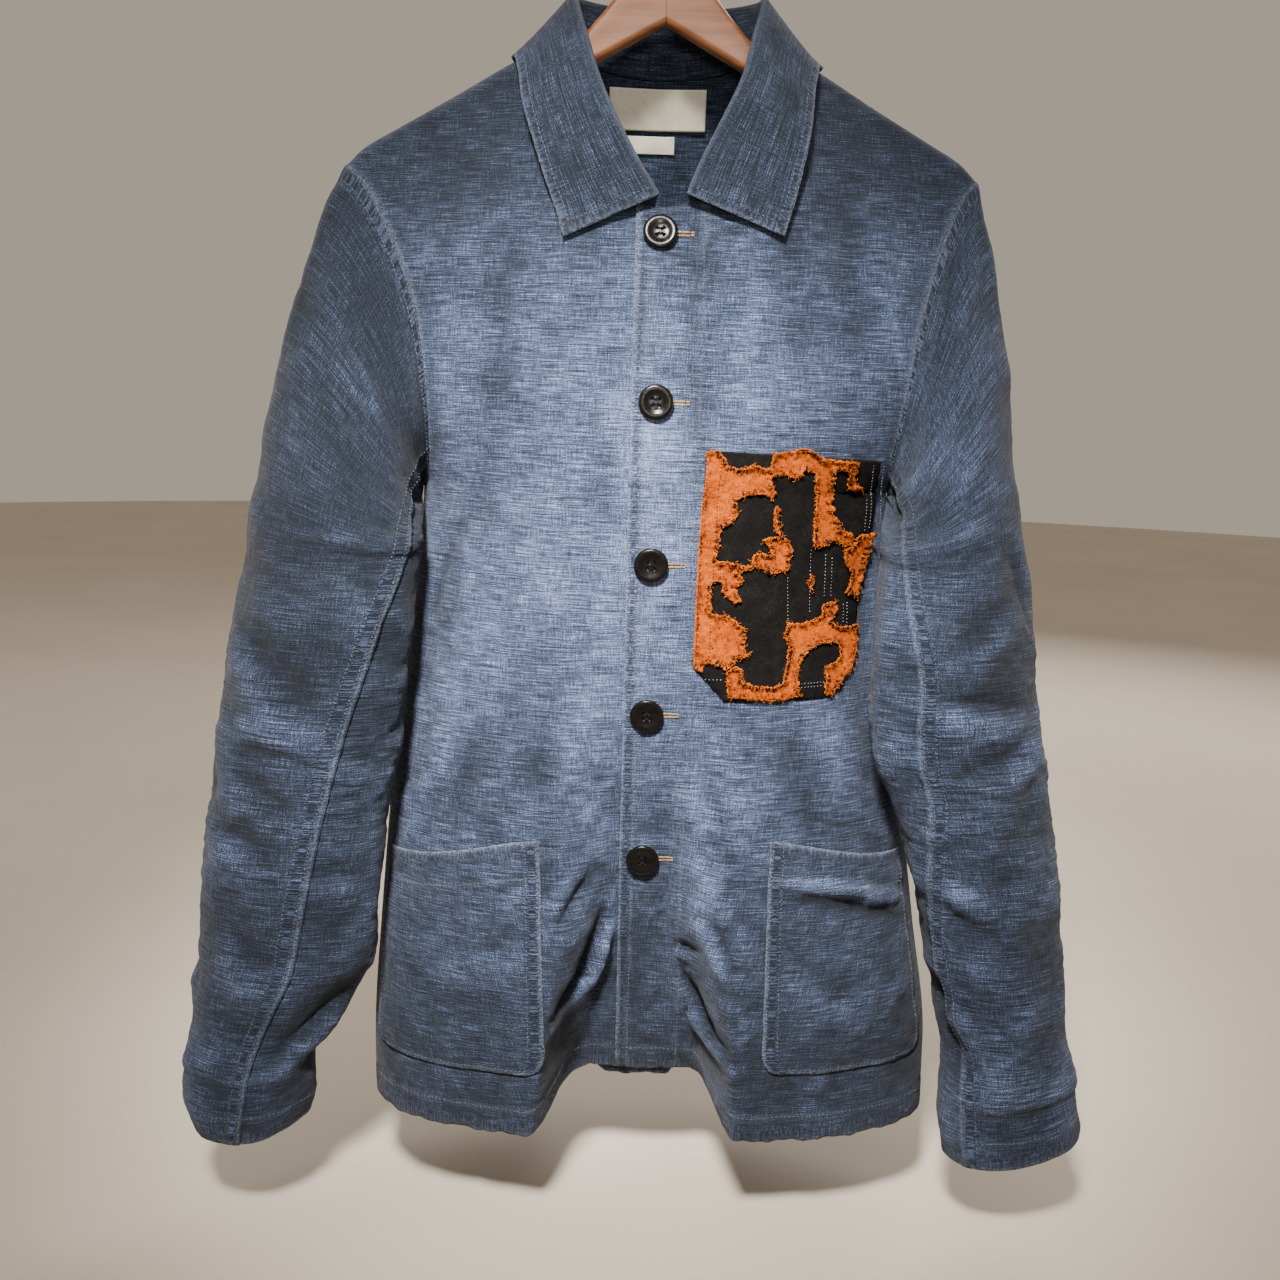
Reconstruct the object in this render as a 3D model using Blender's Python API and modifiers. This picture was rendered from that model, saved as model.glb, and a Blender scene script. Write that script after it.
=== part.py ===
"""Patched work jacket of indigo cloth, buttoned, hanging on a wooden hanger.

Metres, +Z up. The origin is the inside top of the hanger's hook. The jacket's front
faces -Y and its wearer's left side is at +X. Heights on the cloth are given as a drop:
how far a point lies below the high point of the shoulder, as a tailor measures.
"""
import math

import bmesh
import bpy
import numpy as np
from mathutils import Vector

# Cloth and seams
CLOTH = 0.0015
TRIM = 0.0010
SEAM_GAP = 0.0003
LAYER_GAP = 0.0010
SEAM_HALF = 0.0003

# Driving heights and widths of the jacket
SHOULDER_POINT_Z = -0.116
FRONT_LENGTH = 0.748
BACK_LENGTH = 0.768
MIDDLE_RISE = 0.020
NECK_HALF = 0.070
NECK_TOP = -0.004
FRONT_NECK = 0.117
BACK_NECK = 0.018
SHOULDER_HALF = 0.2174
SHOULDER_DROP = 0.083
UNDERARM_DROP = 0.296
OVERLAP = 0.016
RIDGE_RADIUS = 0.0085

# Shoulder line, from the neck's middle outwards: (half width, drop)
SHOULDER_LINE = [(0.0, -0.030), (0.04, -0.018), (0.07, -0.004), (0.105, 0.0140),
                 (0.142, 0.0355), (0.183, 0.0585), (0.205, 0.0712), (0.2174, 0.083)]

# Armhole edge and side seam on each side, from the shoulder down: (drop, half width)
ARMHOLE_RIGHT = [(0.083, 0.2174), (0.090, 0.2080), (0.113, 0.1925), (0.138, 0.1800),
                 (0.165, 0.1695), (0.193, 0.1625), (0.221, 0.1590), (0.248, 0.1570),
                 (0.273, 0.1580), (0.296, 0.1640)]
ARMHOLE_LEFT = [(0.083, 0.2174), (0.090, 0.2090), (0.113, 0.1985), (0.138, 0.1895),
                (0.165, 0.1825), (0.193, 0.1770), (0.221, 0.1730), (0.248, 0.1695),
                (0.273, 0.1670), (0.296, 0.1680)]
SIDE_RIGHT = [(0.296, 0.164), (0.328, 0.1655), (0.408, 0.174), (0.508, 0.186),
              (0.608, 0.193), (0.700, 0.197), (0.790, 0.193)]
SIDE_LEFT = [(0.296, 0.168), (0.328, 0.1685), (0.408, 0.175), (0.508, 0.189),
             (0.608, 0.203), (0.700, 0.215), (0.790, 0.215)]

# How deep the body stands before and behind the side seams: (drop, depth)
FRONT_MIDDLE = [(0.05, 0.062), (0.113, 0.067), (0.158, 0.076), (0.258, 0.086),
                (0.358, 0.088), (0.458, 0.083), (0.558, 0.072), (0.658, 0.054),
                (0.728, 0.042), (0.790, 0.040)]
FRONT_LOBE = [(0.05, 0.062), (0.158, 0.076), (0.258, 0.087), (0.358, 0.091),
              (0.458, 0.096), (0.558, 0.103), (0.658, 0.109), (0.790, 0.117)]
BACK_MIDDLE = [(0.0, 0.052), (0.05, 0.062), (0.15, 0.074), (0.30, 0.074),
               (0.45, 0.064), (0.60, 0.044), (0.70, 0.029), (0.79, 0.022)]
BACK_LOBE = [(0.0, 0.052), (0.05, 0.062), (0.15, 0.075), (0.30, 0.078),
             (0.45, 0.077), (0.60, 0.078), (0.70, 0.081), (0.79, 0.084)]
FRONT_RISE = 0.080
BACK_RISE = 0.035

# Half width at which front and back would meet, and how round the side is
ROUND_EXCESS = [(0.088, 0.060), (0.158, 0.084), (0.208, 0.078), (0.248, 0.048),
                (0.273, 0.022), (0.296, 0.0)]
ROUND_POWER = [(0.0, 1.0), (0.208, 1.0), (0.248, 0.90), (0.296, 0.74), (0.345, 0.68), (0.508, 0.46),
               (0.608, 0.36), (0.700, 0.28), (0.790, 0.25)]

# Half width of the recess round the front edge, where the hem's folds begin, and the
# width over which the cloth swings out of it
RECESS_RIGHT = [(0.05, 0.020), (0.55, 0.021), (0.61, 0.030), (0.70, 0.050), (0.79, 0.060)]
RECESS_LEFT = [(0.05, 0.020), (0.55, 0.022), (0.61, 0.032), (0.70, 0.050), (0.79, 0.055)]
BACK_RECESS = 0.030
SWING = [(0.50, 0.050), (0.61, 0.040), (0.70, 0.027), (0.79, 0.024)]
SWING_START = 0.018

# Shares of a panel's width at which its columns stand, closer where it folds or rounds
FRONT_COLUMNS = [0.0, 0.06, 0.12, 0.175, 0.24, 0.285, 0.325, 0.365, 0.41, 0.47, 0.55, 0.64, 0.73,
                 0.81, 0.88, 0.94, 0.98, 1.0]
FRONT_NECK_COLUMNS = 6
FRONT_NECK_CROWD = 1.6
FRONT_LEAN = 0.028
BACK_NECK_COLUMNS = 4
BACK_COLUMNS = [0.0, 0.09, 0.16, 0.23, 0.30, 0.37, 0.46, 0.57, 0.68, 0.79, 0.89, 0.96, 1.0]

# Sleeves: (drop, inner x, outer x, inner y, outer y, half depth), x as a half width
SLEEVE_RIGHT = [(0.345, 0.1600, 0.2850, -0.060, -0.013, 0.042),
                (0.400, 0.1655, 0.2935, -0.072, -0.026, 0.042),
                (0.460, 0.1710, 0.3020, -0.073, -0.035, 0.042),
                (0.530, 0.1800, 0.3100, -0.076, -0.044, 0.042),
                (0.590, 0.1865, 0.3150, -0.080, -0.052, 0.040),
                (0.628, 0.1905, 0.3175, -0.082, -0.056, 0.038),
                (0.663, 0.2080, 0.3190, -0.083, -0.060, 0.036),
                (0.690, 0.2225, 0.3205, -0.083, -0.064, 0.035),
                (0.712, 0.2290, 0.3245, -0.084, -0.066, 0.035),
                (0.738, 0.2320, 0.3265, -0.085, -0.068, 0.038),
                (0.757, 0.2370, 0.3190, -0.085, -0.069, 0.039)]
SLEEVE_LEFT = [(0.345, 0.1625, 0.2610, -0.060, -0.013, 0.041),
               (0.400, 0.1550, 0.2685, -0.084, -0.029, 0.038),
               (0.437, 0.1535, 0.2730, -0.088, -0.034, 0.038),
               (0.470, 0.1580, 0.2790, -0.088, -0.039, 0.038),
               (0.500, 0.1710, 0.2850, -0.086, -0.042, 0.038),
               (0.542, 0.1835, 0.2915, -0.083, -0.046, 0.038),
               (0.577, 0.1940, 0.2980, -0.080, -0.050, 0.038),
               (0.613, 0.2015, 0.3015, -0.081, -0.054, 0.037),
               (0.658, 0.2110, 0.3055, -0.083, -0.060, 0.036),
               (0.688, 0.2195, 0.3080, -0.083, -0.063, 0.035),
               (0.726, 0.2195, 0.3160, -0.084, -0.067, 0.036),
               (0.758, 0.2220, 0.3230, -0.085, -0.069, 0.038)]
# How much the cuff's edge rises at the sleeve's two edges, and its tilt, and where that starts
CUFF_RISE = {1: 0.004, -1: 0.007}
CUFF_TILT = {1: 0.010, -1: -0.001}
CUFF_START = 0.66
# Sideways part of the way the cloth leaves the shoulder point
CROWN_OUT = {1: 0.30, -1: 0.50}
SLEEVE_TOP_DROP = 0.345
# Sleeve seams as shares of a turn, counted from the sleeve's outer edge over its front
FRONT_SEAM_RIGHT = [(0.345, 0.455), (0.406, 0.400), (0.470, 0.355), (0.566, 0.322),
                    (0.690, 0.290), (0.757, 0.282)]
FRONT_SEAM_LEFT = [(0.345, 0.440), (0.430, 0.375), (0.490, 0.385), (0.545, 0.420),
                   (0.600, 0.455), (0.650, 0.450), (0.700, 0.410), (0.758, 0.400)]
BACK_SEAM = [(0.345, 0.780), (0.600, 0.740), (0.758, 0.730)]
ARMHOLE_FRONT_SEAM = 0.430
ARMHOLE_BACK_SEAM = 0.704
SLEEVE_SEAM_TURN = 0.0016
SLEEVE_SET_OFF = (0.0021, 0.0012)

# Collar rails on the wearer's right and left: (share of the way to the end, x, y, drop)
COLLAR_ROLL_RIGHT = [(0.0, 0.0, 0.047, -0.032), (0.2, 0.040, 0.034, -0.031),
                     (0.4, 0.063, 0.004, -0.030), (0.5, 0.062, -0.020, -0.023),
                     (0.6, 0.055, -0.040, 0.000), (0.7, 0.047, -0.054, 0.026),
                     (0.8, 0.036, -0.062, 0.052), (0.9, 0.019, -0.066, 0.083),
                     (1.0, 0.004, -0.065, 0.106)]
COLLAR_ROLL_LEFT = [(0.0, 0.0, 0.047, -0.032), (0.2, 0.040, 0.034, -0.031),
                    (0.4, 0.066, 0.004, -0.030), (0.5, 0.066, -0.020, -0.023),
                    (0.6, 0.060, -0.040, 0.000), (0.7, 0.054, -0.054, 0.026),
                    (0.8, 0.042, -0.062, 0.054), (0.9, 0.028, -0.066, 0.083),
                    (1.0, 0.019, -0.065, 0.105)]
COLLAR_EDGE_RIGHT = [(0.0, 0.0, 0.076, 0.042), (0.2, 0.058, 0.062, 0.040),
                     (0.4, 0.098, 0.018, 0.014), (0.5, 0.1015, -0.014, 0.011),
                     (0.6, 0.097, -0.034, 0.024), (0.7, 0.093, -0.044, 0.046),
                     (0.8, 0.084, -0.052, 0.074), (0.9, 0.0735, -0.056, 0.104),
                     (1.0, 0.062, -0.060, 0.1316)]
COLLAR_EDGE_LEFT = [(0.0, 0.0, 0.076, 0.042), (0.2, 0.058, 0.062, 0.040),
                    (0.4, 0.100, 0.018, 0.015), (0.5, 0.1040, -0.014, 0.013),
                    (0.6, 0.100, -0.034, 0.030), (0.7, 0.0985, -0.044, 0.050),
                    (0.8, 0.094, -0.052, 0.077), (0.9, 0.0885, -0.056, 0.103),
                    (1.0, 0.0815, -0.060, 0.1284)]
COLLAR_COLUMNS = [0.0, 0.09, 0.18, 0.27, 0.34, 0.375, 0.40, 0.425, 0.45, 0.475, 0.505, 0.55, 0.62,
                  0.70, 0.78, 0.86, 0.93, 1.0]
COLLAR_SHOULDER = 0.40
COLLAR_END_RIGHT = 0.057
COLLAR_END_LEFT = 0.275
COLLAR_FOLD = 0.0026
COLLAR_FOOT = 0.0020
COLLAR_CLEAR = 0.0040

# Lower pockets: x at the inner and outer edge, top and bottom, and drops
POCKET_RIGHT = {"inner": (0.071, 0.064), "outer": (0.183, 0.190), "top": (0.536, 0.560),
                "bottom": 0.703}
POCKET_LEFT = {"inner": (0.087, 0.087), "outer": (0.185, 0.207), "top": (0.533, 0.552),
               "bottom": 0.699}
POCKET_CORNER = 0.016
POCKET_BELLY = 0.0022

# Chest pocket: x of its two edges at the top, at the cut corners and at the bottom
CHEST_TOP = 0.268
CHEST_CUT = 0.412
CHEST_BOTTOM = 0.436
CHEST_INNER = [(0.268, 0.034), (0.412, 0.030), (0.436, 0.052)]
CHEST_PUFF = 0.0030
CHEST_OUTER = [(0.268, 0.155), (0.412, 0.143), (0.436, 0.128)]

# Buttons: drop of each along the front edge
BUTTON_DROPS = [0.1300, 0.2382, 0.3442, 0.4472, 0.5530]
BUTTON_X = 0.0
BUTTON_RADIUS = 0.0115
BUTTON_THICK = 0.0040

# Neck labels on the inside of the back: (centre x, drop of the top, width, height)
LABEL_MAIN = (-0.004, 0.0175, 0.070, 0.027)
LABEL_SIZE = (-0.009, 0.0480, 0.036, 0.012)

# Hanger
HANGER_HALF = 0.206
HANGER_RADIUS = 0.0070
HANGER_EASE = 0.0008
HANGER_TOP = [(0.0, -0.0520), (0.02, -0.0470), (0.046, -0.0205), (0.060, -0.0065),
              (0.070, -0.0030)]
HANGER_BOTTOM = [(0.0, -0.0135), (0.02, -0.0085), (0.05, 0.0135), (0.10, 0.0420),
                 (0.15, 0.0660), (0.19, 0.0840), (0.206, 0.0890)]
HOOK_WIRE = 0.0018
HOOK_INNER = 0.0190


def through(stations, at):
    """A smooth curve through (place, value) stations that never swings past them."""
    place = [station[0] for station in stations]
    value = [station[1] for station in stations]
    at = min(max(at, place[0]), place[-1])
    last = len(place) - 1
    index = 0
    while index < last - 1 and at > place[index + 1]:
        index += 1

    def chord(i):
        return (value[i + 1] - value[i]) / (place[i + 1] - place[i])

    def slope(i):
        if i == 0:
            return chord(0)
        if i == last:
            return chord(last - 1)
        before = chord(i - 1)
        after = chord(i)
        return 2 * before * after / (before + after) if before * after > 0 else 0.0

    width = place[index + 1] - place[index]
    t = (at - place[index]) / width
    return ((2 * t**3 - 3 * t**2 + 1) * value[index] + (t**3 - 2 * t**2 + t) * width * slope(index)
            + (3 * t**2 - 2 * t**3) * value[index + 1] + (t**3 - t**2) * width * slope(index + 1))


def straight(stations, at):
    """The broken line through (place, value) stations."""
    return float(np.interp(at, [s[0] for s in stations], [s[1] for s in stations]))


def ease(x):
    """0 to 1 as x goes from 0 to 1, with level ends."""
    x = min(max(x, 0.0), 1.0)
    return x * x * (3 - 2 * x)


def mix(a, b, share):
    return a + (b - a) * share


def level(drop):
    """The height of a point `drop` below the high point of the shoulder."""
    return SHOULDER_POINT_Z - drop


def shoulder_drop(x):
    return through(SHOULDER_LINE, abs(x))


def side_width(side, drop):
    """Half width of the armhole edge, and of the side seam below it; side is 1 or -1."""
    if drop < UNDERARM_DROP:
        return through(ARMHOLE_LEFT if side > 0 else ARMHOLE_RIGHT, drop)
    return through(SIDE_LEFT if side > 0 else SIDE_RIGHT, drop)


def round_width(side, drop):
    """Half width at which front and back would meet."""
    width = side_width(side, max(drop, SHOULDER_DROP))
    if drop < UNDERARM_DROP:
        width += through(ROUND_EXCESS, drop)
    return width


def swing_span(drop, recess):
    """Where the cloth starts to swing out of the recess, and over what width."""
    width = through(SWING, drop)
    return max(recess - 0.3 * width, SWING_START), width


def body_depth(x, drop, middle, lobe, rise, recess):
    """How far the cloth stands off the side-seam plane at (x, drop)."""
    below = drop - shoulder_drop(x)
    if below <= 0.0:
        return 0.0
    start, width = swing_span(drop, recess)
    swing = ease((abs(x) - start) / width)
    full = mix(through(middle, drop), through(lobe, drop), swing)
    share = min(abs(x) / round_width(x, drop), 1.0)
    full *= (1.0 - share * share) ** through(ROUND_POWER, drop)
    over = min(below, RIDGE_RADIUS)
    ridge = math.sqrt(RIDGE_RADIUS**2 - (RIDGE_RADIUS - over) ** 2)
    grow = 1.0 - math.exp(-((below / rise) ** 1.1))
    if full <= RIDGE_RADIUS:
        return min(ridge, full)
    return ridge + (full - RIDGE_RADIUS) * grow


def front_recess(x, drop):
    return through(RECESS_LEFT if x > 0 else RECESS_RIGHT, drop)


def front_depth(x, drop):
    return body_depth(x, drop, FRONT_MIDDLE, FRONT_LOBE, FRONT_RISE, front_recess(x, drop))


def back_depth(x, drop):
    return body_depth(x, drop, BACK_MIDDLE, BACK_LOBE, BACK_RISE, BACK_RECESS)


def front_point(x, drop, lift=0.0):
    """A point on the front's cloth, moved out of it by `lift`."""
    return lifted(lambda a, b: Vector((a, -front_depth(a, b) - SEAM_HALF, level(b))), x, drop, lift)


def back_point(x, drop, lift=0.0):
    return lifted(lambda a, b: Vector((a, back_depth(a, b) + SEAM_HALF, level(b))), x, drop, -lift)


def lifted(surface, x, drop, lift):
    point = surface(x, drop)
    if lift == 0.0:
        return point
    step = 0.0006
    along = surface(x + step, drop) - surface(x - step, drop)
    down = surface(x, drop + step) - surface(x, drop - step)
    return point + down.cross(along).normalized() * lift


def finish(obj, material):
    """Put an object in the jacket's collection, with its material, shaded smooth."""
    obj.data.materials.append(material)
    PARTS.objects.link(obj)
    return obj


def material(name, colour, roughness, metallic=0.0):
    made = bpy.data.materials.new(name)
    made.use_nodes = True
    shader = made.node_tree.nodes["Principled BSDF"]
    shader.inputs["Base Color"].default_value = (*colour, 1.0)
    shader.inputs["Roughness"].default_value = roughness
    shader.inputs["Metallic"].default_value = metallic
    return made


def cloth(name, across, along, place, cloth_material, wall=CLOTH):
    """A piece of cloth: a grid of points that `place` gives, with a wall of its thickness."""
    mesh = bpy.data.meshes.new(name)
    grid = bmesh.new()
    bmesh.ops.create_grid(grid, x_segments=across, y_segments=along, size=0.5)
    for vert in grid.verts:
        vert.co = place(vert.co.x + 0.5, vert.co.y + 0.5)
    grid.to_mesh(mesh)
    grid.free()
    mesh.shade_smooth()
    obj = finish(bpy.data.objects.new(name, mesh), cloth_material)
    wall_maker = obj.modifiers.new("Cloth thickness", "SOLIDIFY")
    wall_maker.thickness = wall
    wall_maker.offset = 0.0
    return obj


def front_hem(x):
    """Drop of the front's hem: higher in the recess at the middle."""
    return FRONT_LENGTH - MIDDLE_RISE * (1 - ease((abs(x) - 0.030) / 0.050))


def back_hem(x):
    return mix(BACK_LENGTH, FRONT_LENGTH, ease((abs(x) - 0.050) / 0.140))


def panel_rows(share, height):
    """Distance below a panel's top edge, with rows close together over the shoulder's ridge."""
    ridge_share = 0.16
    ridge = RIDGE_RADIUS * 1.2
    if share < ridge_share:
        return ridge * (share / ridge_share) ** 2.0
    return mix(ridge, height, (share - ridge_share) / (1 - ridge_share))


def neck_turn(along, near, crowd):
    """Turn round the neckline, along from its middle end, 0, to the high point of the shoulder."""
    return mix(-math.asin(near / NECK_HALF), math.pi / 2, 1 - (1 - along) ** crowd)


def neck_place(turn, neck_depth):
    return NECK_HALF * math.sin(turn), NECK_TOP + neck_depth * math.cos(turn)


def panel_place(t, v, side, near, columns, neck_share, neck_depth, lean, hem):
    """(x, drop) on a half panel, t from its middle edge to the side and v from hem to top.

    `near` is how far the panel reaches past the middle, and `lean` how far its columns
    spread from the neck.
    """
    down = 1.0 - v
    if t < neck_share:
        crowd = FRONT_NECK_CROWD if lean else 1.0
        top_x, top = neck_place(neck_turn(t / neck_share, near, crowd), neck_depth)
        spread = t / neck_share
    else:
        top_x = mix(NECK_HALF, SHOULDER_HALF, (t - neck_share) / (1 - neck_share))
        top = shoulder_drop(top_x)
        spread = (1 - t) / (1 - neck_share)
    last = len(columns) - 1
    body_share = straight([(i / last, share) for i, share in enumerate(columns)], t)
    top_share = (top_x + near) / (SHOULDER_HALF + near)
    side_drop = SHOULDER_DROP + panel_rows(down, FRONT_LENGTH - SHOULDER_DROP)
    fade = ease((side_drop - SHOULDER_DROP) / 0.24)
    share = mix(top_share, body_share, fade)
    even = 0.15 * (1 - ease(t / neck_share)) if lean else 0.0
    fall = mix(panel_rows(down, FRONT_LENGTH - top), (FRONT_LENGTH - top) * down, even)
    side_way = mix(-near, side_width(side, side_drop), share)
    side_way += lean * spread * (1 - math.exp(-fall / 0.030)) * (1 - fade)
    recess = front_recess(side, side_drop) if lean else BACK_RECESS
    start, width = swing_span(side_drop, recess)
    swing_end = SWING_START + SWING[0][1]
    if side_way < SWING_START:
        side_way = mix(-near, start, (side_way + near) / (SWING_START + near))
    elif side_way < swing_end:
        side_way = start + (side_way - SWING_START) * width / SWING[0][1]
    else:
        edge = side_width(side, side_drop)
        side_way = mix(start + width, edge, (side_way - swing_end) / (edge - swing_end))
    x = side * side_way
    drop = top + fall * (hem(x) - top) / (FRONT_LENGTH - top)
    return x, drop


def make_fronts(cloth_material):
    """Left and right fronts. The left lies over the right along the front edge."""
    across = len(FRONT_COLUMNS) - 1
    neck_share = FRONT_NECK_COLUMNS / across

    def place(t, v, side):
        return panel_place(t, v, side, OVERLAP, FRONT_COLUMNS, neck_share, FRONT_NECK,
                           FRONT_LEAN, front_hem)

    def left(t, v):
        x, drop = place(t, v, 1)
        return front_point(x, drop, overlap_lift(x))

    def right(t, v):
        x, drop = place(t, v, -1)
        return front_point(x, drop)

    cloth("front_left", across, 24, left, cloth_material)
    cloth("front_right", across, 24, right, cloth_material)


def overlap_lift(x):
    """How far the left front stands off the shared front surface, over the right front."""
    return (CLOTH + LAYER_GAP) * (1 - ease((x - 0.027) / 0.018))


def make_back(cloth_material):
    across = 2 * (len(BACK_COLUMNS) - 1)

    def place(u, v):
        side = 1 if u >= 0.5 else -1
        neck_share = BACK_NECK_COLUMNS / (len(BACK_COLUMNS) - 1)
        x, drop = panel_place(abs(u - 0.5) * 2, v, side, 0.0, BACK_COLUMNS, neck_share, BACK_NECK,
                              0.0, back_hem)
        return back_point(x, drop)

    cloth("back", across, 23, place, cloth_material)


def armhole_point(side, turn):
    """The armhole's edge, `turn` of the way round it from the shoulder over the front."""
    drop = SHOULDER_DROP + (UNDERARM_DROP - SHOULDER_DROP) * (1 - math.cos(2 * math.pi * turn)) / 2
    x = side_width(side, drop)
    if turn % 1.0 < 0.5:
        depth = -front_depth(side * x, drop) - SEAM_HALF
    else:
        depth = back_depth(side * x, drop) + SEAM_HALF
    return Vector((side * x, depth, level(drop)))


def sleeve_ring(side, stations, drop, turn):
    """A point on the sleeve's flattened ring at `drop`, `turn` of the way from its outer edge."""
    inner_x = through([(s[0], s[1]) for s in stations], drop)
    outer_x = through([(s[0], s[2]) for s in stations], drop)
    inner_y = through([(s[0], s[3]) for s in stations], drop)
    outer_y = through([(s[0], s[4]) for s in stations], drop)
    depth = through([(s[0], s[5]) for s in stations], drop)
    inner = Vector((inner_x, inner_y, 0))
    outer = Vector((outer_x, outer_y, 0))
    long_way = (outer - inner) / 2
    short_way = Vector((long_way.y, -long_way.x, 0)).normalized() * depth
    angle = 2 * math.pi * turn
    flat = (inner + outer) / 2 + long_way * math.cos(angle) + short_way * math.sin(angle)
    end = ease((drop - CUFF_START) / (stations[-1][0] - CUFF_START))
    rise = end * (CUFF_RISE[side] * math.cos(angle) ** 2 + CUFF_TILT[side] * math.cos(angle))
    return Vector((side * flat.x, flat.y, level(drop - rise)))


def sleeve_point(side, stations, q, s, seams):
    """q from one seam to the other; s below 0 is above the sleeve's first full ring."""
    first_turn, last_turn, first_hole, last_hole = seams
    end_drop = stations[-1][0]
    drop = SLEEVE_TOP_DROP + max(s, 0.0) * (end_drop - SLEEVE_TOP_DROP)
    turn = mix(first_turn(drop), last_turn(drop), q)
    ring = sleeve_ring(side, stations, drop, turn)
    if s >= 0.0:
        return ring
    hole_turn = mix(first_hole, last_hole, q)
    hole = armhole_point(side, hole_turn)
    reach = (ring - hole).length * mix(0.6, 1.0, 0.5 + 0.5 * math.cos(2 * math.pi * hole_turn))
    upper = 0.5 + 0.5 * math.cos(2 * math.pi * hole_turn)
    face = math.sin(2 * math.pi * hole_turn)
    over_crown = Vector((side * CROWN_OUT[side], -0.30 * face, -0.87)).normalized()
    under_arm = ((ring - hole).normalized() + Vector((side * 1.1, 0, 0))).normalized()
    leave = under_arm.lerp(over_crown, upper).normalized()
    arrive = Vector((side * 0.16, -0.08, -1.0)).normalized()
    set_off = hole + leave * mix(*SLEEVE_SET_OFF, upper)
    t = 1.0 + s
    return ((2 * t**3 - 3 * t**2 + 1) * set_off + (t**3 - 2 * t**2 + t) * leave * reach
            + (3 * t**2 - 2 * t**3) * ring + (t**3 - t**2) * arrive * reach)


def make_sleeves(cloth_material):
    """Two-piece sleeves: the top sleeve runs over the outside, the under sleeve inside."""
    crown_rows = 8
    arm_rows = 13
    rows = crown_rows + arm_rows
    for side, name, stations, front_seam in ((1, "left", SLEEVE_LEFT, FRONT_SEAM_LEFT),
                                             (-1, "right", SLEEVE_RIGHT, FRONT_SEAM_RIGHT)):
        def turn_of(seam, shift):
            return lambda drop: through(seam, drop) + shift

        gap = SLEEVE_SEAM_TURN
        top_seams = (turn_of(BACK_SEAM, gap - 1), turn_of(front_seam, -gap),
                     ARMHOLE_BACK_SEAM - 1 + gap, ARMHOLE_FRONT_SEAM - gap)
        under_seams = (turn_of(front_seam, gap), turn_of(BACK_SEAM, -gap),
                       ARMHOLE_FRONT_SEAM + gap, ARMHOLE_BACK_SEAM - gap)

        def place(q, v, seams):
            row = (1.0 - v) * rows
            s = (row - crown_rows) / (crown_rows if row < crown_rows else arm_rows)
            return sleeve_point(side, stations, q, s, seams)

        cloth("top_sleeve_" + name, 14, rows, lambda q, v: place(q, v, top_seams), cloth_material)
        cloth("under_sleeve_" + name, 8, rows, lambda q, v: place(q, v, under_seams), cloth_material)


def rail(stations, share):
    """A point on a rail that runs on as its own mirror image past the middle of the back."""
    place, x, y, drop = stations[1]
    whole = [(-place, -x, y, drop)] + stations
    return Vector([through([(s[0], s[axis]) for s in whole], share) for axis in (1, 2, 3)])


def collar_rail(right_stations, left_stations, s):
    """A point on a collar rail, s from -1 at the right end to 1 at the left end."""
    point = rail(left_stations if s > 0 else right_stations, abs(s))
    return Vector((point.x if s > 0 else -point.x, point.y, level(point.z)))


def neck_edge(turn, sign, front):
    """A panel's neckline at `turn`: straight between the ends of the panel's columns."""
    columns = FRONT_NECK_COLUMNS if front else BACK_NECK_COLUMNS
    near = OVERLAP if front else 0.0
    crowd = FRONT_NECK_CROWD if front else 1.0
    turns = [neck_turn(i / columns, near, crowd) for i in range(columns + 1)]

    def corner(at):
        x, drop = neck_place(at, FRONT_NECK if front else BACK_NECK)
        if front:
            return front_point(sign * x, drop, overlap_lift(x) if sign > 0 else 0.0)
        return back_point(sign * x, drop)

    index = 0
    while index < columns - 1 and turn > turns[index + 1]:
        index += 1
    share = (turn - turns[index]) / (turns[index + 1] - turns[index])
    return corner(turns[index]).lerp(corner(turns[index + 1]), share)


def neck_seam(s):
    """The neckline of the fronts and the back, s from -1 at the right end to 1 at the left."""
    share = abs(s)
    sign = 1 if s > 0 else -1
    if share < COLLAR_SHOULDER:
        return neck_edge(math.pi / 2 * share / COLLAR_SHOULDER, sign, False)
    end = COLLAR_END_LEFT if s > 0 else COLLAR_END_RIGHT
    turn = mix(math.pi / 2, end, (share - COLLAR_SHOULDER) / (1 - COLLAR_SHOULDER))
    return neck_edge(turn, sign, True)


def body_gap(point):
    """How far a point stands clear of the body's cloth, negative inside it."""
    drop = SHOULDER_POINT_Z - point.z
    above = shoulder_drop(point.x) - drop
    if above > 0:
        return math.hypot(above, point.y)
    return max(-point.y - front_depth(point.x, drop), point.y - back_depth(point.x, drop))


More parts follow.
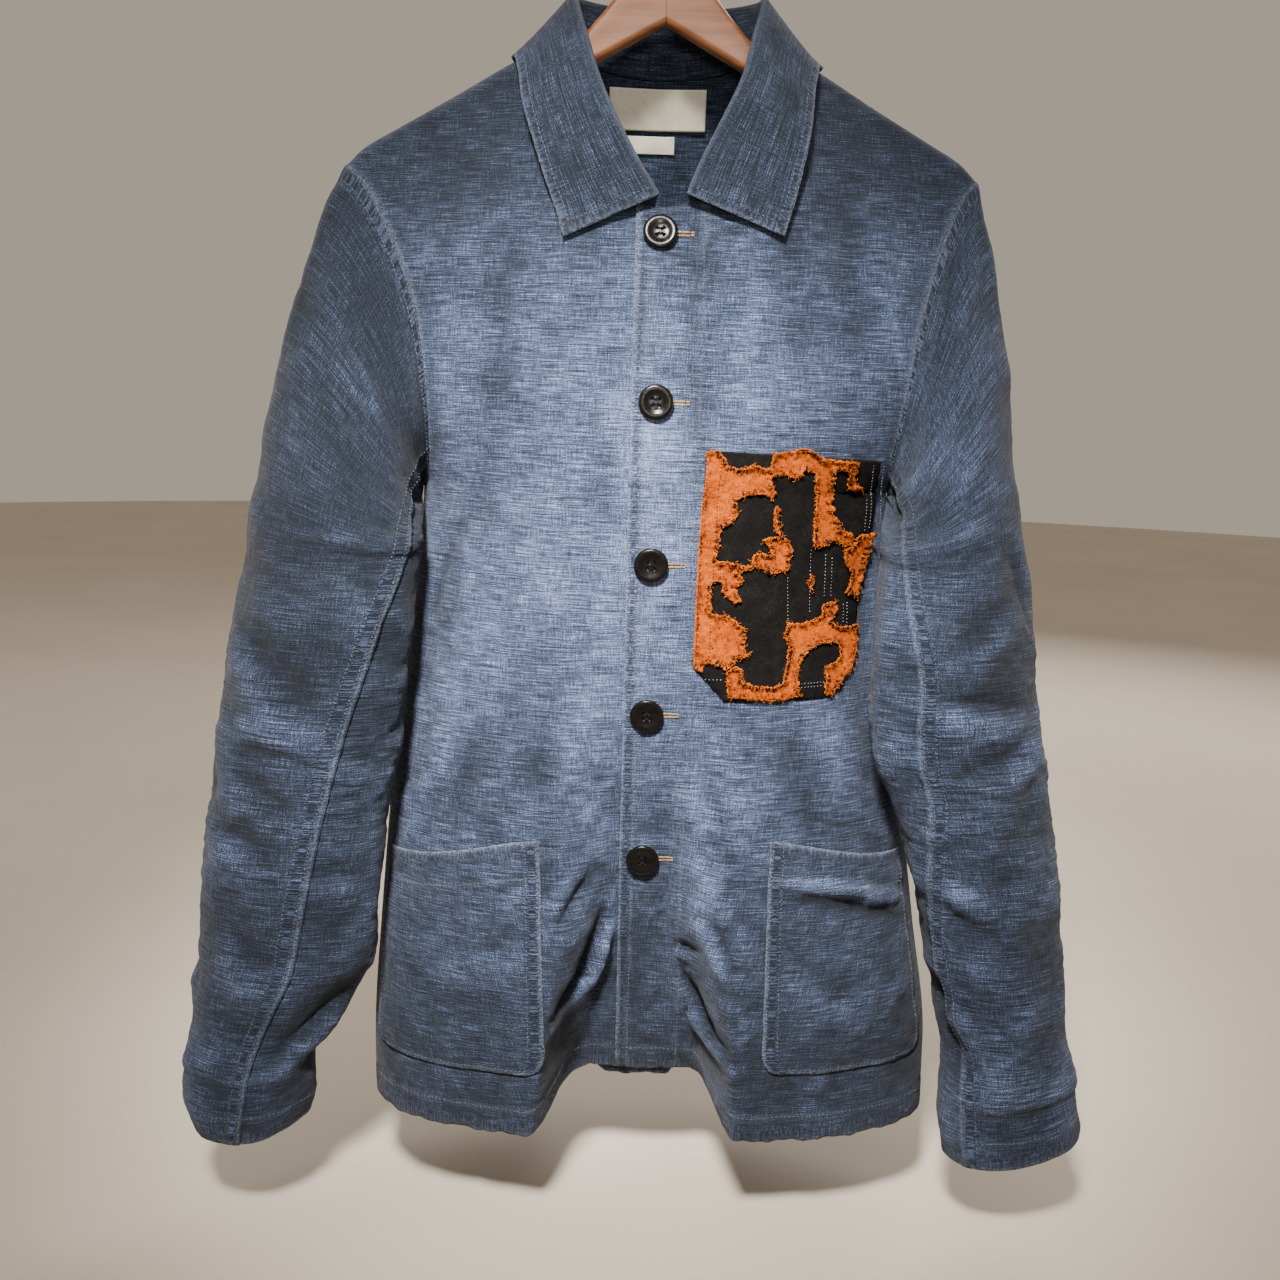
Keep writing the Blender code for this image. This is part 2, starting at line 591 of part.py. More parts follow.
def collar_section(s):
    """Points across the collar at s: up the stand, over the fold and out along the leaf."""
    step = 0.01
    roll = collar_rail(COLLAR_ROLL_RIGHT, COLLAR_ROLL_LEFT, s)
    edge = collar_rail(COLLAR_EDGE_RIGHT, COLLAR_EDGE_LEFT, s)
    seam = neck_seam(s)
    tangent = (collar_rail(COLLAR_ROLL_RIGHT, COLLAR_ROLL_LEFT, min(s + step, 1.0))
               - collar_rail(COLLAR_ROLL_RIGHT, COLLAR_ROLL_LEFT, max(s - step, -1.0))).normalized()

    def square(way):
        return (way - tangent * way.dot(tangent)).normalized()

    to_seam = square(seam - roll)
    to_edge = square(edge - roll)
    apex = -(to_seam + to_edge).normalized()
    outward = square((to_edge - to_seam) - apex * (to_edge - to_seam).dot(apex))
    inward = math.exp(-(((abs(s) - 0.44) / 0.05) ** 2)) * math.copysign(0.0016, s)
    foot = seam + (roll - seam).normalized() * COLLAR_FOOT - Vector((inward, 0, 0))
    inner = roll - outward * COLLAR_FOLD
    outer = roll + outward * COLLAR_FOLD
    points = [foot.lerp(inner, share) for share in (0.0, 0.35, 0.7, 1.0)]
    for angle in (45, 90, 135):
        turn = math.radians(angle)
        points.append(roll - outward * COLLAR_FOLD * math.cos(turn) + apex * COLLAR_FOLD * math.sin(turn))
    for share in (0.0, 0.14, 0.3, 0.48, 0.66, 0.84, 1.0):
        point = outer.lerp(edge, share)
        tries = 0
        while body_gap(point) < COLLAR_CLEAR + 0.002 * (1 - share) and tries < 200:
            point = point + outward * 0.0004
            tries += 1
        points.append(point)
    return points


def make_collar(cloth_material):
    columns = [-s for s in reversed(COLLAR_COLUMNS[1:])] + COLLAR_COLUMNS
    sections = [collar_section(s) for s in columns]
    around = len(sections) - 1
    across = len(sections[0]) - 1

    def place(u, v):
        return sections[round(u * around)][round(v * across)]

    cloth("collar", around, across, place, cloth_material)


def make_pockets(cloth_material):
    """Two patch pockets low on the fronts, open at the top, with rounded lower corners."""
    for side, name, cut in ((1, "left", POCKET_LEFT), (-1, "right", POCKET_RIGHT)):

        def place(p, v):
            down = (1 - v) ** 0.85
            p = mix(p, ease(p), 0.6)
            drop = mix(mix(*cut["top"], p * p), cut["bottom"], down)
            left_over = cut["bottom"] - drop
            inset = 0.0
            if left_over < POCKET_CORNER:
                short = POCKET_CORNER - left_over
                inset = POCKET_CORNER - math.sqrt(max(POCKET_CORNER**2 - short**2, 0.0))
            near = mix(*cut["inner"], down) + inset * 0.8
            far = mix(*cut["outer"], down) - inset * 0.5
            belly = POCKET_BELLY * (1 - ease(down / 0.55)) * math.sin(math.pi * p)
            return front_point(side * mix(near, far, p), drop, CLOTH + LAYER_GAP + belly)

        cloth("pocket_" + name, 12, 9, place, cloth_material)


def chest_point(p, down, lift):
    """A point on the chest pocket: p across from its inner edge, down from its top, 0 to 1."""
    drop = mix(CHEST_TOP, CHEST_BOTTOM, down)
    x = mix(straight(CHEST_INNER, drop), straight(CHEST_OUTER, drop), p)
    puff = CHEST_PUFF * ease((p - 0.35) / 0.65) * ease((0.6 - down) / 0.4)
    return front_point(x, drop + 0.005 * p * (1 - down), lift + puff + overlap_lift(x))


def make_chest_pocket(base_material, patch_material):
    """The black pocket, and the torn orange cloth that is sewn on it."""
    base_lift = (CLOTH + TRIM) / 2 + 0.0010
    patch_lift = base_lift + TRIM + 0.0006
    cloth("chest_pocket", 10, 12, lambda p, v: chest_point(p, 1 - v, base_lift), base_material, TRIM)
    strips = {
        "patch_left_strip": [(0.005, 0.0, 0.11), (0.10, 0.0, 0.30), (0.22, 0.0, 0.12),
                             (0.45, 0.0, 0.14), (0.60, 0.0, 0.16), (0.66, 0.01, 0.11)],
        "patch_top_strip": [(0.01, 0.38, 0.88), (0.08, 0.40, 0.86), (0.12, 0.62, 0.74),
                            (0.25, 0.62, 0.73), (0.38, 0.63, 0.72)],
        "patch_middle": [(0.36, 0.30, 0.46), (0.42, 0.22, 0.52), (0.47, 0.17, 0.50),
                         (0.52, 0.20, 0.34), (0.58, 0.18, 0.26)],
        "patch_right_scrap": [(0.30, 0.77, 0.84), (0.38, 0.79, 0.92), (0.46, 0.84, 0.97),
                              (0.60, 0.84, 0.96)],
        "patch_lower_left": [(0.675, 0.02, 0.26), (0.76, 0.02, 0.30), (0.84, 0.02, 0.28),
                             (0.92, 0.14, 0.46), (0.985, 0.10, 0.60)],
        "patch_lower_right": [(0.66, 0.58, 0.80), (0.70, 0.52, 0.99), (0.80, 0.70, 0.99),
                              (0.88, 0.74, 0.97), (0.985, 0.74, 0.93)],
    }
    for name, rows in strips.items():
        inner_edge = [(row[0], row[1]) for row in rows]
        outer_edge = [(row[0], row[2]) for row in rows]

        def place(u, v):
            down = mix(rows[0][0], rows[-1][0], 1 - v)
            p = mix(straight(inner_edge, down), straight(outer_edge, down), u)
            return chest_point(p, down, patch_lift)

        cloth(name, 4, 9, place, patch_material, TRIM)


def make_buttons(button_material):
    """Turned buttons with a raised rim and a dished middle, on the left front's edge."""
    profile = [(0.0, 0.0030), (0.0048, 0.0028), (0.0068, 0.0034), (0.0092, 0.0040),
               (0.0108, 0.0036), (0.0115, 0.0024), (0.0108, 0.0008), (0.0086, 0.0), (0.0, 0.0)]
    for number, drop in enumerate(BUTTON_DROPS, 1):
        mesh = bpy.data.meshes.new(f"button_{number}")
        shape = bmesh.new()
        verts = [shape.verts.new((radius, 0.0, height)) for radius, height in profile]
        edges = [shape.edges.new(pair) for pair in zip(verts, verts[1:])]
        bmesh.ops.spin(shape, geom=verts + edges, cent=(0, 0, 0), axis=(0, 0, 1),
                       angle=2 * math.pi, steps=16, use_merge=True)
        bmesh.ops.remove_doubles(shape, verts=shape.verts, dist=0.00001)
        bmesh.ops.recalc_face_normals(shape, faces=shape.faces)
        under = overlap_lift(BUTTON_X) + CLOTH / 2 + SEAM_GAP
        seat = front_point(BUTTON_X, drop, under)
        out = (front_point(BUTTON_X, drop, under + 0.01) - seat).normalized()
        turn = Vector((0, 0, 1)).rotation_difference(out)
        for vert in shape.verts:
            vert.co = seat + turn @ vert.co
        shape.to_mesh(mesh)
        shape.free()
        mesh.shade_smooth()
        finish(bpy.data.objects.new(f"button_{number}", mesh), button_material)


def make_labels(label_material):
    """Two blank woven labels inside the back, below the neck seam."""
    for name, (centre, top, width, height) in (("label_main", LABEL_MAIN), ("label_size", LABEL_SIZE)):
        def place(p, v):
            return back_point(centre + width * (p - 0.5), top + height * (1 - v),
                              -((CLOTH + TRIM) / 2 + 0.0018))

        cloth(name, 6, 3, place, label_material, TRIM)


def hanger_ring(x, turn):
    """A point on the hanger's section at x: a slot shape, round at its top and bottom."""
    share = abs(x)
    if share < NECK_HALF:
        top = through(HANGER_TOP, share)
    else:
        top = shoulder_drop(share)
    top += RIDGE_RADIUS + HANGER_EASE * (1 + 1.5 * math.exp(-(((share - NECK_HALF) / 0.010) ** 2)))
    bottom = max(through(HANGER_BOTTOM, share) - HANGER_RADIUS, top + 0.002)
    tip = max(1 - share / HANGER_HALF, 0.0)
    round_off = min(1.0, math.sqrt(1 - (1 - min(tip / 0.03, 1.0)) ** 2) + 0.25)
    angle = 2 * math.pi * turn
    up = math.sin(angle)
    middle = (top + bottom) / 2
    end = mix(middle, top if up >= 0 else bottom, round_off)
    radius = HANGER_RADIUS * round_off
    return Vector((x, radius * math.cos(angle), level(end) + radius * up))


def make_hanger(wood, metal):
    """The shaped wooden body, and the wire hook that stands in its top."""
    length_steps = 26
    around = 12
    mesh = bpy.data.meshes.new("hanger_body")
    shape = bmesh.new()
    bmesh.ops.create_grid(shape, x_segments=length_steps, y_segments=around, size=0.5)
    for vert in shape.verts:
        share = 2 * vert.co.x
        x = HANGER_HALF * math.copysign(1 - (1 - abs(share)) ** 1.2, share)
        vert.co = hanger_ring(x, vert.co.y + 0.5)
    bmesh.ops.remove_doubles(shape, verts=shape.verts, dist=0.00001)
    ends = [edge for edge in shape.edges if edge.is_boundary]
    bmesh.ops.holes_fill(shape, edges=ends, sides=0)
    bmesh.ops.recalc_face_normals(shape, faces=shape.faces)
    shape.to_mesh(mesh)
    shape.free()
    mesh.shade_smooth()
    finish(bpy.data.objects.new("hanger_body", mesh), wood)

    path_radius = HOOK_INNER + HOOK_WIRE
    centre = -HOOK_INNER
    foot = hanger_ring(0.0, 0.25).z + SEAM_GAP
    lower = centre - path_radius - 0.004
    points = [(0.0, mix(foot, lower, share / 3)) for share in range(4)]
    points += [(0.0015, lower + 0.0030), (0.0060, lower + 0.0062)]
    for degrees in range(-50, 201, 14):
        turn = math.radians(degrees)
        points.append((path_radius * math.cos(turn), centre + path_radius * math.sin(turn)))
    curve = bpy.data.curves.new("hook", "CURVE")
    curve.dimensions = "3D"
    curve.bevel_depth = HOOK_WIRE
    curve.bevel_resolution = 2
    curve.use_fill_caps = True
    spline = curve.splines.new("POLY")
    spline.points.add(len(points) - 1)
    for point, (x, z) in zip(spline.points, points):
        point.co = (x, 0.0, z, 1.0)
    finish(bpy.data.objects.new("hook", curve), metal)


for old in list(bpy.data.objects):
    bpy.data.objects.remove(old, do_unlink=True)
PARTS = bpy.data.collections.new("Patched jacket on hanger")
bpy.context.scene.collection.children.link(PARTS)

INDIGO = material("Indigo cloth", (0.105, 0.175, 0.290), 0.92)
BLACK = material("Black cloth", (0.012, 0.012, 0.014), 0.90)
ORANGE = material("Orange cloth", (0.560, 0.150, 0.028), 0.90)
CREAM = material("Woven label", (0.800, 0.760, 0.640), 0.75)
HORN = material("Dark button", (0.010, 0.007, 0.005), 0.22)
WOOD = material("Hanger wood", (0.420, 0.190, 0.070), 0.45)
STEEL = material("Hook steel", (0.620, 0.610, 0.590), 0.28, 1.0)

make_fronts(INDIGO)
make_back(INDIGO)
make_sleeves(INDIGO)
make_collar(INDIGO)
make_pockets(INDIGO)
make_chest_pocket(BLACK, ORANGE)
make_buttons(HORN)
make_labels(CREAM)
make_hanger(WOOD, STEEL)
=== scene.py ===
"""A worn indigo work jacket with a patched chest pocket, on a wooden hanger.

Metres, +Z up, the origin at the inside top of the hanger's hook. The jacket's front faces
-Y and its wearer's left side is at +X. Heights on the cloth are given as a drop below the
high point of the shoulder, as a tailor measures.
"""
import functools
import math
import random

import bmesh
import bpy
import numpy as np
from mathutils import Euler, Matrix, Vector
from mathutils.geometry import delaunay_2d_cdt


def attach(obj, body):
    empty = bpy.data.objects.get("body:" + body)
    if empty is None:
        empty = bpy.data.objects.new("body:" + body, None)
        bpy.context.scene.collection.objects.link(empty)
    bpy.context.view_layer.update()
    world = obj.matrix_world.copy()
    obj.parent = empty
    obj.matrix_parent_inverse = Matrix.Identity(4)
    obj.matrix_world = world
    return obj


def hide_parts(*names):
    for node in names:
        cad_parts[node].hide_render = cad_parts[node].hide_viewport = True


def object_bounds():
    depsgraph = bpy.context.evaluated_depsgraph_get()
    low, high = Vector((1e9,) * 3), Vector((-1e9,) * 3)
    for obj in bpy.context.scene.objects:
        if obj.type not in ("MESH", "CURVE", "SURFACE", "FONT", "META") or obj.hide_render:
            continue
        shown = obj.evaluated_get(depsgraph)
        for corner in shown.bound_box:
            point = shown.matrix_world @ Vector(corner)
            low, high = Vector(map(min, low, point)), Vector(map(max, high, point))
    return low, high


bl_info = {
    "name": "Patched work jacket on a hanger",
    "version": (1, 0, 0),
    "blender": (4, 5, 0),
    "location": "View3D > Sidebar > Jacket",
    "description": "Makes the cloth, sewing, patches, buttons and hanger of a worn indigo work jacket",
    "category": "Add Mesh",
}

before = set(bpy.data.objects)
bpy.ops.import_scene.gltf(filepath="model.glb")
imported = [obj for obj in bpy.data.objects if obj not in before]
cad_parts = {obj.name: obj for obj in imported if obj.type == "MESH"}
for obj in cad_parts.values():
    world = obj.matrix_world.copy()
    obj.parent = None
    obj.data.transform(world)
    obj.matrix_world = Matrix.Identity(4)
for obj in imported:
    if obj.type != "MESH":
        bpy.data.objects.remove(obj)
CAD_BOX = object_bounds()

SIDE_WORD = {1: "left", -1: "right"}

# Cloth and seams
CLOTH = 0.0015
TRIM = 0.0010
LAYER_GAP = 0.0010
SEAM_HALF = 0.0003
TRIM_REST = (CLOTH + TRIM) / 2
CREASE_GAIN = 1.5

# Thickness of the drawn cloth
PANEL_WALL = 0.0012
COLLAR_WALL = 0.0016
POCKET_WALL = 0.0009
TRIM_WALL = 0.0006

# Driving heights and widths of the jacket
SHOULDER_POINT_Z = -0.116
FRONT_LENGTH = 0.748
BACK_LENGTH = 0.768
MIDDLE_RISE = 0.020
NECK_HALF = 0.070
NECK_TOP = -0.004
FRONT_NECK = 0.117
BACK_NECK = 0.018
SHOULDER_HALF = 0.2174
SHOULDER_DROP = 0.083
UNDERARM_DROP = 0.296
OVERLAP = 0.016
RIDGE_RADIUS = 0.0085

# Shoulder line, from the neck's middle outwards: (half width, drop)
SHOULDER_LINE = [(0.0, -0.030), (0.04, -0.018), (0.07, -0.004), (0.105, 0.0140),
                 (0.142, 0.0355), (0.183, 0.0585), (0.205, 0.0712), (0.2174, 0.083)]

# Armhole edge and side seam on each side, from the shoulder down: (drop, half width)
ARMHOLE_RIGHT = [(0.083, 0.2174), (0.090, 0.2080), (0.113, 0.1925), (0.138, 0.1800),
                 (0.165, 0.1695), (0.193, 0.1625), (0.221, 0.1590), (0.248, 0.1570),
                 (0.273, 0.1580), (0.296, 0.1640)]
ARMHOLE_LEFT = [(0.083, 0.2174), (0.090, 0.2090), (0.113, 0.1985), (0.138, 0.1895),
                (0.165, 0.1825), (0.193, 0.1770), (0.221, 0.1730), (0.248, 0.1695),
                (0.273, 0.1670), (0.296, 0.1680)]
SIDE_RIGHT = [(0.296, 0.164), (0.328, 0.1655), (0.408, 0.174), (0.508, 0.186),
              (0.608, 0.193), (0.700, 0.197), (0.790, 0.193)]
SIDE_LEFT = [(0.296, 0.168), (0.328, 0.1685), (0.408, 0.175), (0.508, 0.189),
             (0.608, 0.203), (0.700, 0.215), (0.790, 0.215)]

# How deep the body stands before and behind the side seams: (drop, depth)
FRONT_MIDDLE = [(0.05, 0.062), (0.113, 0.067), (0.158, 0.076), (0.258, 0.086),
                (0.358, 0.088), (0.458, 0.083), (0.558, 0.072), (0.658, 0.054),
                (0.728, 0.042), (0.790, 0.040)]
FRONT_LOBE = [(0.05, 0.062), (0.158, 0.076), (0.258, 0.087), (0.358, 0.091),
              (0.458, 0.096), (0.558, 0.103), (0.658, 0.109), (0.790, 0.117)]
BACK_MIDDLE = [(0.0, 0.052), (0.05, 0.062), (0.15, 0.074), (0.30, 0.074),
               (0.45, 0.064), (0.60, 0.044), (0.70, 0.029), (0.79, 0.022)]
BACK_LOBE = [(0.0, 0.052), (0.05, 0.062), (0.15, 0.075), (0.30, 0.078),
             (0.45, 0.077), (0.60, 0.078), (0.70, 0.081), (0.79, 0.084)]
FRONT_RISE = 0.080
BACK_RISE = 0.035

# Half width at which front and back would meet, and how round the side is
ROUND_EXCESS = [(0.088, 0.060), (0.158, 0.084), (0.208, 0.078), (0.248, 0.048),
                (0.273, 0.022), (0.296, 0.0)]
ROUND_POWER = [(0.0, 1.0), (0.208, 1.0), (0.248, 0.90), (0.296, 0.74), (0.345, 0.68),
               (0.508, 0.46), (0.608, 0.36), (0.700, 0.28), (0.790, 0.25)]

# The recess round the front edge, where the hem's folds begin
RECESS_RIGHT = [(0.05, 0.020), (0.55, 0.021), (0.61, 0.030), (0.70, 0.050), (0.79, 0.060)]
RECESS_LEFT = [(0.05, 0.020), (0.55, 0.022), (0.61, 0.032), (0.70, 0.050), (0.79, 0.055)]
BACK_RECESS = 0.030
SWING = [(0.50, 0.050), (0.61, 0.040), (0.70, 0.027), (0.79, 0.024)]
SWING_START = 0.018

# Shares of a panel's width at which its columns stand
FRONT_COLUMNS = [0.0, 0.06, 0.12, 0.175, 0.24, 0.285, 0.325, 0.365, 0.41, 0.47, 0.55, 0.64,
                 0.73, 0.81, 0.88, 0.94, 0.98, 1.0]
FRONT_NECK_COLUMNS = 6
FRONT_NECK_CROWD = 1.6
FRONT_LEAN = 0.028
BACK_COLUMNS = [0.0, 0.09, 0.16, 0.23, 0.30, 0.37, 0.46, 0.57, 0.68, 0.79, 0.89, 0.96, 1.0]
BACK_NECK_COLUMNS = 4

# Sleeves: (drop, inner x, outer x, inner y, outer y, half depth), x as a half width
SLEEVE_RIGHT = [(0.345, 0.1600, 0.2850, -0.060, -0.013, 0.042),
                (0.400, 0.1655, 0.2935, -0.072, -0.026, 0.042),
                (0.460, 0.1710, 0.3020, -0.073, -0.035, 0.042),
                (0.530, 0.1800, 0.3100, -0.076, -0.044, 0.042),
                (0.590, 0.1865, 0.3150, -0.080, -0.052, 0.040),
                (0.628, 0.1905, 0.3175, -0.082, -0.056, 0.038),
                (0.663, 0.2080, 0.3190, -0.083, -0.060, 0.036),
                (0.690, 0.2225, 0.3205, -0.083, -0.064, 0.035),
                (0.712, 0.2290, 0.3245, -0.084, -0.066, 0.035),
                (0.738, 0.2320, 0.3265, -0.085, -0.068, 0.038),
                (0.757, 0.2370, 0.3190, -0.085, -0.069, 0.039)]
SLEEVE_LEFT = [(0.345, 0.1625, 0.2610, -0.060, -0.013, 0.041),
               (0.400, 0.1550, 0.2685, -0.084, -0.029, 0.038),
               (0.437, 0.1535, 0.2730, -0.088, -0.034, 0.038),
               (0.470, 0.1580, 0.2790, -0.088, -0.039, 0.038),
               (0.500, 0.1710, 0.2850, -0.086, -0.042, 0.038),
               (0.542, 0.1835, 0.2915, -0.083, -0.046, 0.038),
               (0.577, 0.1940, 0.2980, -0.080, -0.050, 0.038),
               (0.613, 0.2015, 0.3015, -0.081, -0.054, 0.037),
               (0.658, 0.2110, 0.3055, -0.083, -0.060, 0.036),
               (0.688, 0.2195, 0.3080, -0.083, -0.063, 0.035),
               (0.726, 0.2195, 0.3160, -0.084, -0.067, 0.036),
               (0.758, 0.2220, 0.3230, -0.085, -0.069, 0.038)]
CUFF_RISE = {1: 0.004, -1: 0.007}
CUFF_TILT = {1: 0.010, -1: -0.001}
CUFF_START = 0.66
CROWN_OUT = {1: 0.30, -1: 0.50}
SLEEVE_TOP_DROP = 0.345
SLEEVE_ROUND = 0.28
HEAD_LENGTH = 0.235
UNDER_SHARE = 0.33
TOP_SHARE = 0.67
# Sleeve seams as shares of a turn, counted from the sleeve's outer edge over its front
FRONT_SEAM_RIGHT = [(0.345, 0.455), (0.406, 0.400), (0.470, 0.355), (0.566, 0.322),
                    (0.690, 0.290), (0.757, 0.282)]
FRONT_SEAM_LEFT = [(0.345, 0.440), (0.430, 0.375), (0.490, 0.385), (0.545, 0.420),
                   (0.600, 0.455), (0.650, 0.450), (0.700, 0.410), (0.758, 0.400)]
BACK_SEAM = [(0.345, 0.780), (0.600, 0.740), (0.758, 0.730)]
ARMHOLE_FRONT_SEAM = 0.430
ARMHOLE_BACK_SEAM = 0.704

# Collar rails on the wearer's right and left: (share of the way to the end, x, y, drop)
COLLAR_ROLL_RIGHT = [(0.0, 0.0, 0.047, -0.032), (0.2, 0.040, 0.034, -0.031),
                     (0.4, 0.063, 0.004, -0.030), (0.5, 0.062, -0.020, -0.023),
                     (0.6, 0.055, -0.040, 0.000), (0.7, 0.047, -0.054, 0.026),
                     (0.8, 0.036, -0.062, 0.052), (0.9, 0.019, -0.066, 0.083),
                     (1.0, 0.004, -0.065, 0.106)]
COLLAR_ROLL_LEFT = [(0.0, 0.0, 0.047, -0.032), (0.2, 0.040, 0.034, -0.031),
                    (0.4, 0.066, 0.004, -0.030), (0.5, 0.066, -0.020, -0.023),
                    (0.6, 0.060, -0.040, 0.000), (0.7, 0.054, -0.054, 0.026),
                    (0.8, 0.042, -0.062, 0.054), (0.9, 0.028, -0.066, 0.083),
                    (1.0, 0.019, -0.065, 0.105)]
COLLAR_EDGE_RIGHT = [(0.0, 0.0, 0.076, 0.042), (0.2, 0.058, 0.062, 0.040),
                     (0.4, 0.098, 0.018, 0.014), (0.5, 0.1015, -0.014, 0.011),
                     (0.6, 0.097, -0.034, 0.024), (0.7, 0.093, -0.044, 0.046),
                     (0.8, 0.084, -0.052, 0.074), (0.9, 0.0735, -0.056, 0.104),
                     (1.0, 0.062, -0.060, 0.1316)]
COLLAR_EDGE_LEFT = [(0.0, 0.0, 0.076, 0.042), (0.2, 0.058, 0.062, 0.040),
                    (0.4, 0.100, 0.018, 0.015), (0.5, 0.1040, -0.014, 0.013),
                    (0.6, 0.100, -0.034, 0.030), (0.7, 0.0985, -0.044, 0.050),
                    (0.8, 0.094, -0.052, 0.077), (0.9, 0.0885, -0.056, 0.103),
                    (1.0, 0.0815, -0.060, 0.1284)]
COLLAR_STATIONS = 41
COLLAR_SHOULDER = 0.40
COLLAR_END_RIGHT = 0.057
COLLAR_END_LEFT = 0.275
COLLAR_FOLD = 0.0026
COLLAR_FOOT = 0.0020
COLLAR_CLEAR = 0.0040
COLLAR_RUN = 0.46
COLLAR_DEPTH = 0.115
COLLAR_STITCH = 0.0062
COLLAR_ALONG = 220
COLLAR_ACROSS = 65

# Lower pockets: half widths of the inner and outer edge at top and bottom, and drops
POCKET_RIGHT = {"inner": (0.071, 0.064), "outer": (0.183, 0.190), "top": (0.536, 0.560),
                "bottom": 0.703}
POCKET_LEFT = {"inner": (0.087, 0.087), "outer": (0.185, 0.207), "top": (0.533, 0.552),
               "bottom": 0.699}
POCKET_WIDE = 0.11
POCKET_TALL = 0.16
POCKET_CORNER = 0.016
POCKET_BELLY = 0.0022
POCKET_DROOP = {1: 0.0055, -1: 0.0070}

# Chest pocket
CHEST_TOP = 0.268
CHEST_BOTTOM = 0.436
CHEST_INNER = [(0.268, 0.034), (0.412, 0.030), (0.436, 0.052)]
CHEST_OUTER = [(0.268, 0.155), (0.412, 0.143), (0.436, 0.128)]
CHEST_PUFF = 0.0030

# Buttons and buttonholes
BUTTON_DROPS = [0.1300, 0.2382, 0.3442, 0.4472, 0.5530]
BUTTON_PROFILE = [(0.0, 0.0029), (0.0022, 0.0028), (0.0046, 0.0028), (0.0060, 0.0031),
                  (0.0074, 0.0037), (0.0090, 0.0040), (0.0104, 0.0038), (0.0112, 0.0032),
                  (0.0115, 0.0024), (0.0112, 0.0014), (0.0104, 0.0006), (0.0088, 0.0001),
                  (0.0, 0.0001)]
BUTTON_SEAT = 0.0010
HOLE_PLACE = 0.0019
HOLE_RADIUS = 0.00095
BUTTONHOLE = (0.0080, 0.0203)

# Neck labels: (centre x, drop of the top, width, height)
LABEL_MAIN = (-0.004, 0.0175, 0.070, 0.027)
LABEL_SIZE = (-0.009, 0.0480, 0.036, 0.012)

# Hanger
HANGER_HALF = 0.206
HANGER_RADIUS = 0.0070
HANGER_EASE = 0.0008
HANGER_TOP = [(0.0, -0.0520), (0.02, -0.0470), (0.046, -0.0205), (0.060, -0.0065),
              (0.070, -0.0030)]
HANGER_BOTTOM = [(0.0, -0.0135), (0.02, -0.0085), (0.05, 0.0135), (0.10, 0.0420),
                 (0.15, 0.0660), (0.19, 0.0840), (0.206, 0.0890)]
HOOK_WIRE = 0.0018
HOOK_INNER = 0.0190
FERRULE_PROFILE = [(0.0019, 0.0040), (0.0031, 0.0040), (0.0036, 0.0034), (0.0038, 0.0),
                   (0.0044, -0.0012), (0.0019, -0.0012), (0.0019, 0.0040)]

# Sewing
FRONT_STITCH = 0.0085
FACING_LINE = 0.0288
HEM_STITCH = 0.018
CUFF_STITCH = 0.018
POCKET_HEM = 0.025
TWIN_ROWS = (0.0022, 0.0095)

# Camera
FOCAL_PIXELS = 1380
PHOTO_PIXELS = 1280
SENSOR_WIDTH = 36.0
CAMERA_PLACE = (-0.006, -1.0, -0.344)
CAMERA_PITCH = 10.4
CAMERA_ROLL = 1.6

# Creases of the fronts: points as (x, drop), depth, width, and the side of the ridge
FRONT_CREASES = [
    ([(-0.0270, 0.598), (-0.0400, 0.640), (-0.0573, 0.6665)], 0.0076, 0.0036, -1),
    ([(-0.0466, 0.6579), (-0.0520, 0.685), (-0.0535, 0.7037)], 0.0030, 0.0050, -1),
    ([(-0.0363, 0.5623), (-0.0568, 0.5947)], 0.0028, 0.0045, 1),
    ([(0.0310, 0.642), (0.0521, 0.6818), (0.0680, 0.690)], 0.0052, 0.0038, 1),
    ([(0.0252, 0.6182), (0.0418, 0.6214)], 0.0028, 0.0040, 1),
    ([(0.0480, 0.588), (0.0600, 0.610), (0.0674, 0.6268)], 0.0034, 0.0045, 1),
    ([(0.0288, 0.7193), (0.0575, 0.7483)], 0.0020, 0.0060, -1),
    ([(-0.0023, 0.532), (0.0146, 0.5377)], 0.0012, 0.0045, 1),
    ([(0.0362, 0.5432), (0.0518, 0.5479)], 0.0016, 0.0050, 1),
    ([(0.0602, 0.5583), (0.0567, 0.5781)], 0.0014, 0.0045, 1),
    ([(0.040, 0.470), (0.052, 0.520), (0.060, 0.560)], 0.0018, 0.0090, 1),
    ([(-0.060, 0.420), (-0.072, 0.480), (-0.066, 0.535)], 0.0018, 0.0120, -1),
    ([(-0.110, 0.455), (-0.125, 0.500), (-0.138, 0.540)], 0.0016, 0.0100, 1),
    ([(0.095, 0.455), (0.110, 0.490), (0.118, 0.525)], 0.0016, 0.0100, -1),
    ([(-0.030, 0.180), (-0.042, 0.260), (-0.040, 0.340)], 0.0012, 0.0130, -1),
    ([(-0.100, 0.150), (-0.108, 0.240), (-0.112, 0.330)], 0.0014, 0.0140, 1),
    ([(0.120, 0.100), (0.130, 0.170), (0.142, 0.235)], 0.0014, 0.0120, -1),
    ([(0.080, 0.110), (0.088, 0.180), (0.090, 0.240)], 0.0010, 0.0120, 1),
    ([(-0.130, 0.320), (-0.146, 0.360), (-0.156, 0.405)], 0.0022, 0.0080, 1),
    ([(0.140, 0.330), (0.150, 0.375), (0.154, 0.430)], 0.0022, 0.0085, -1),
]
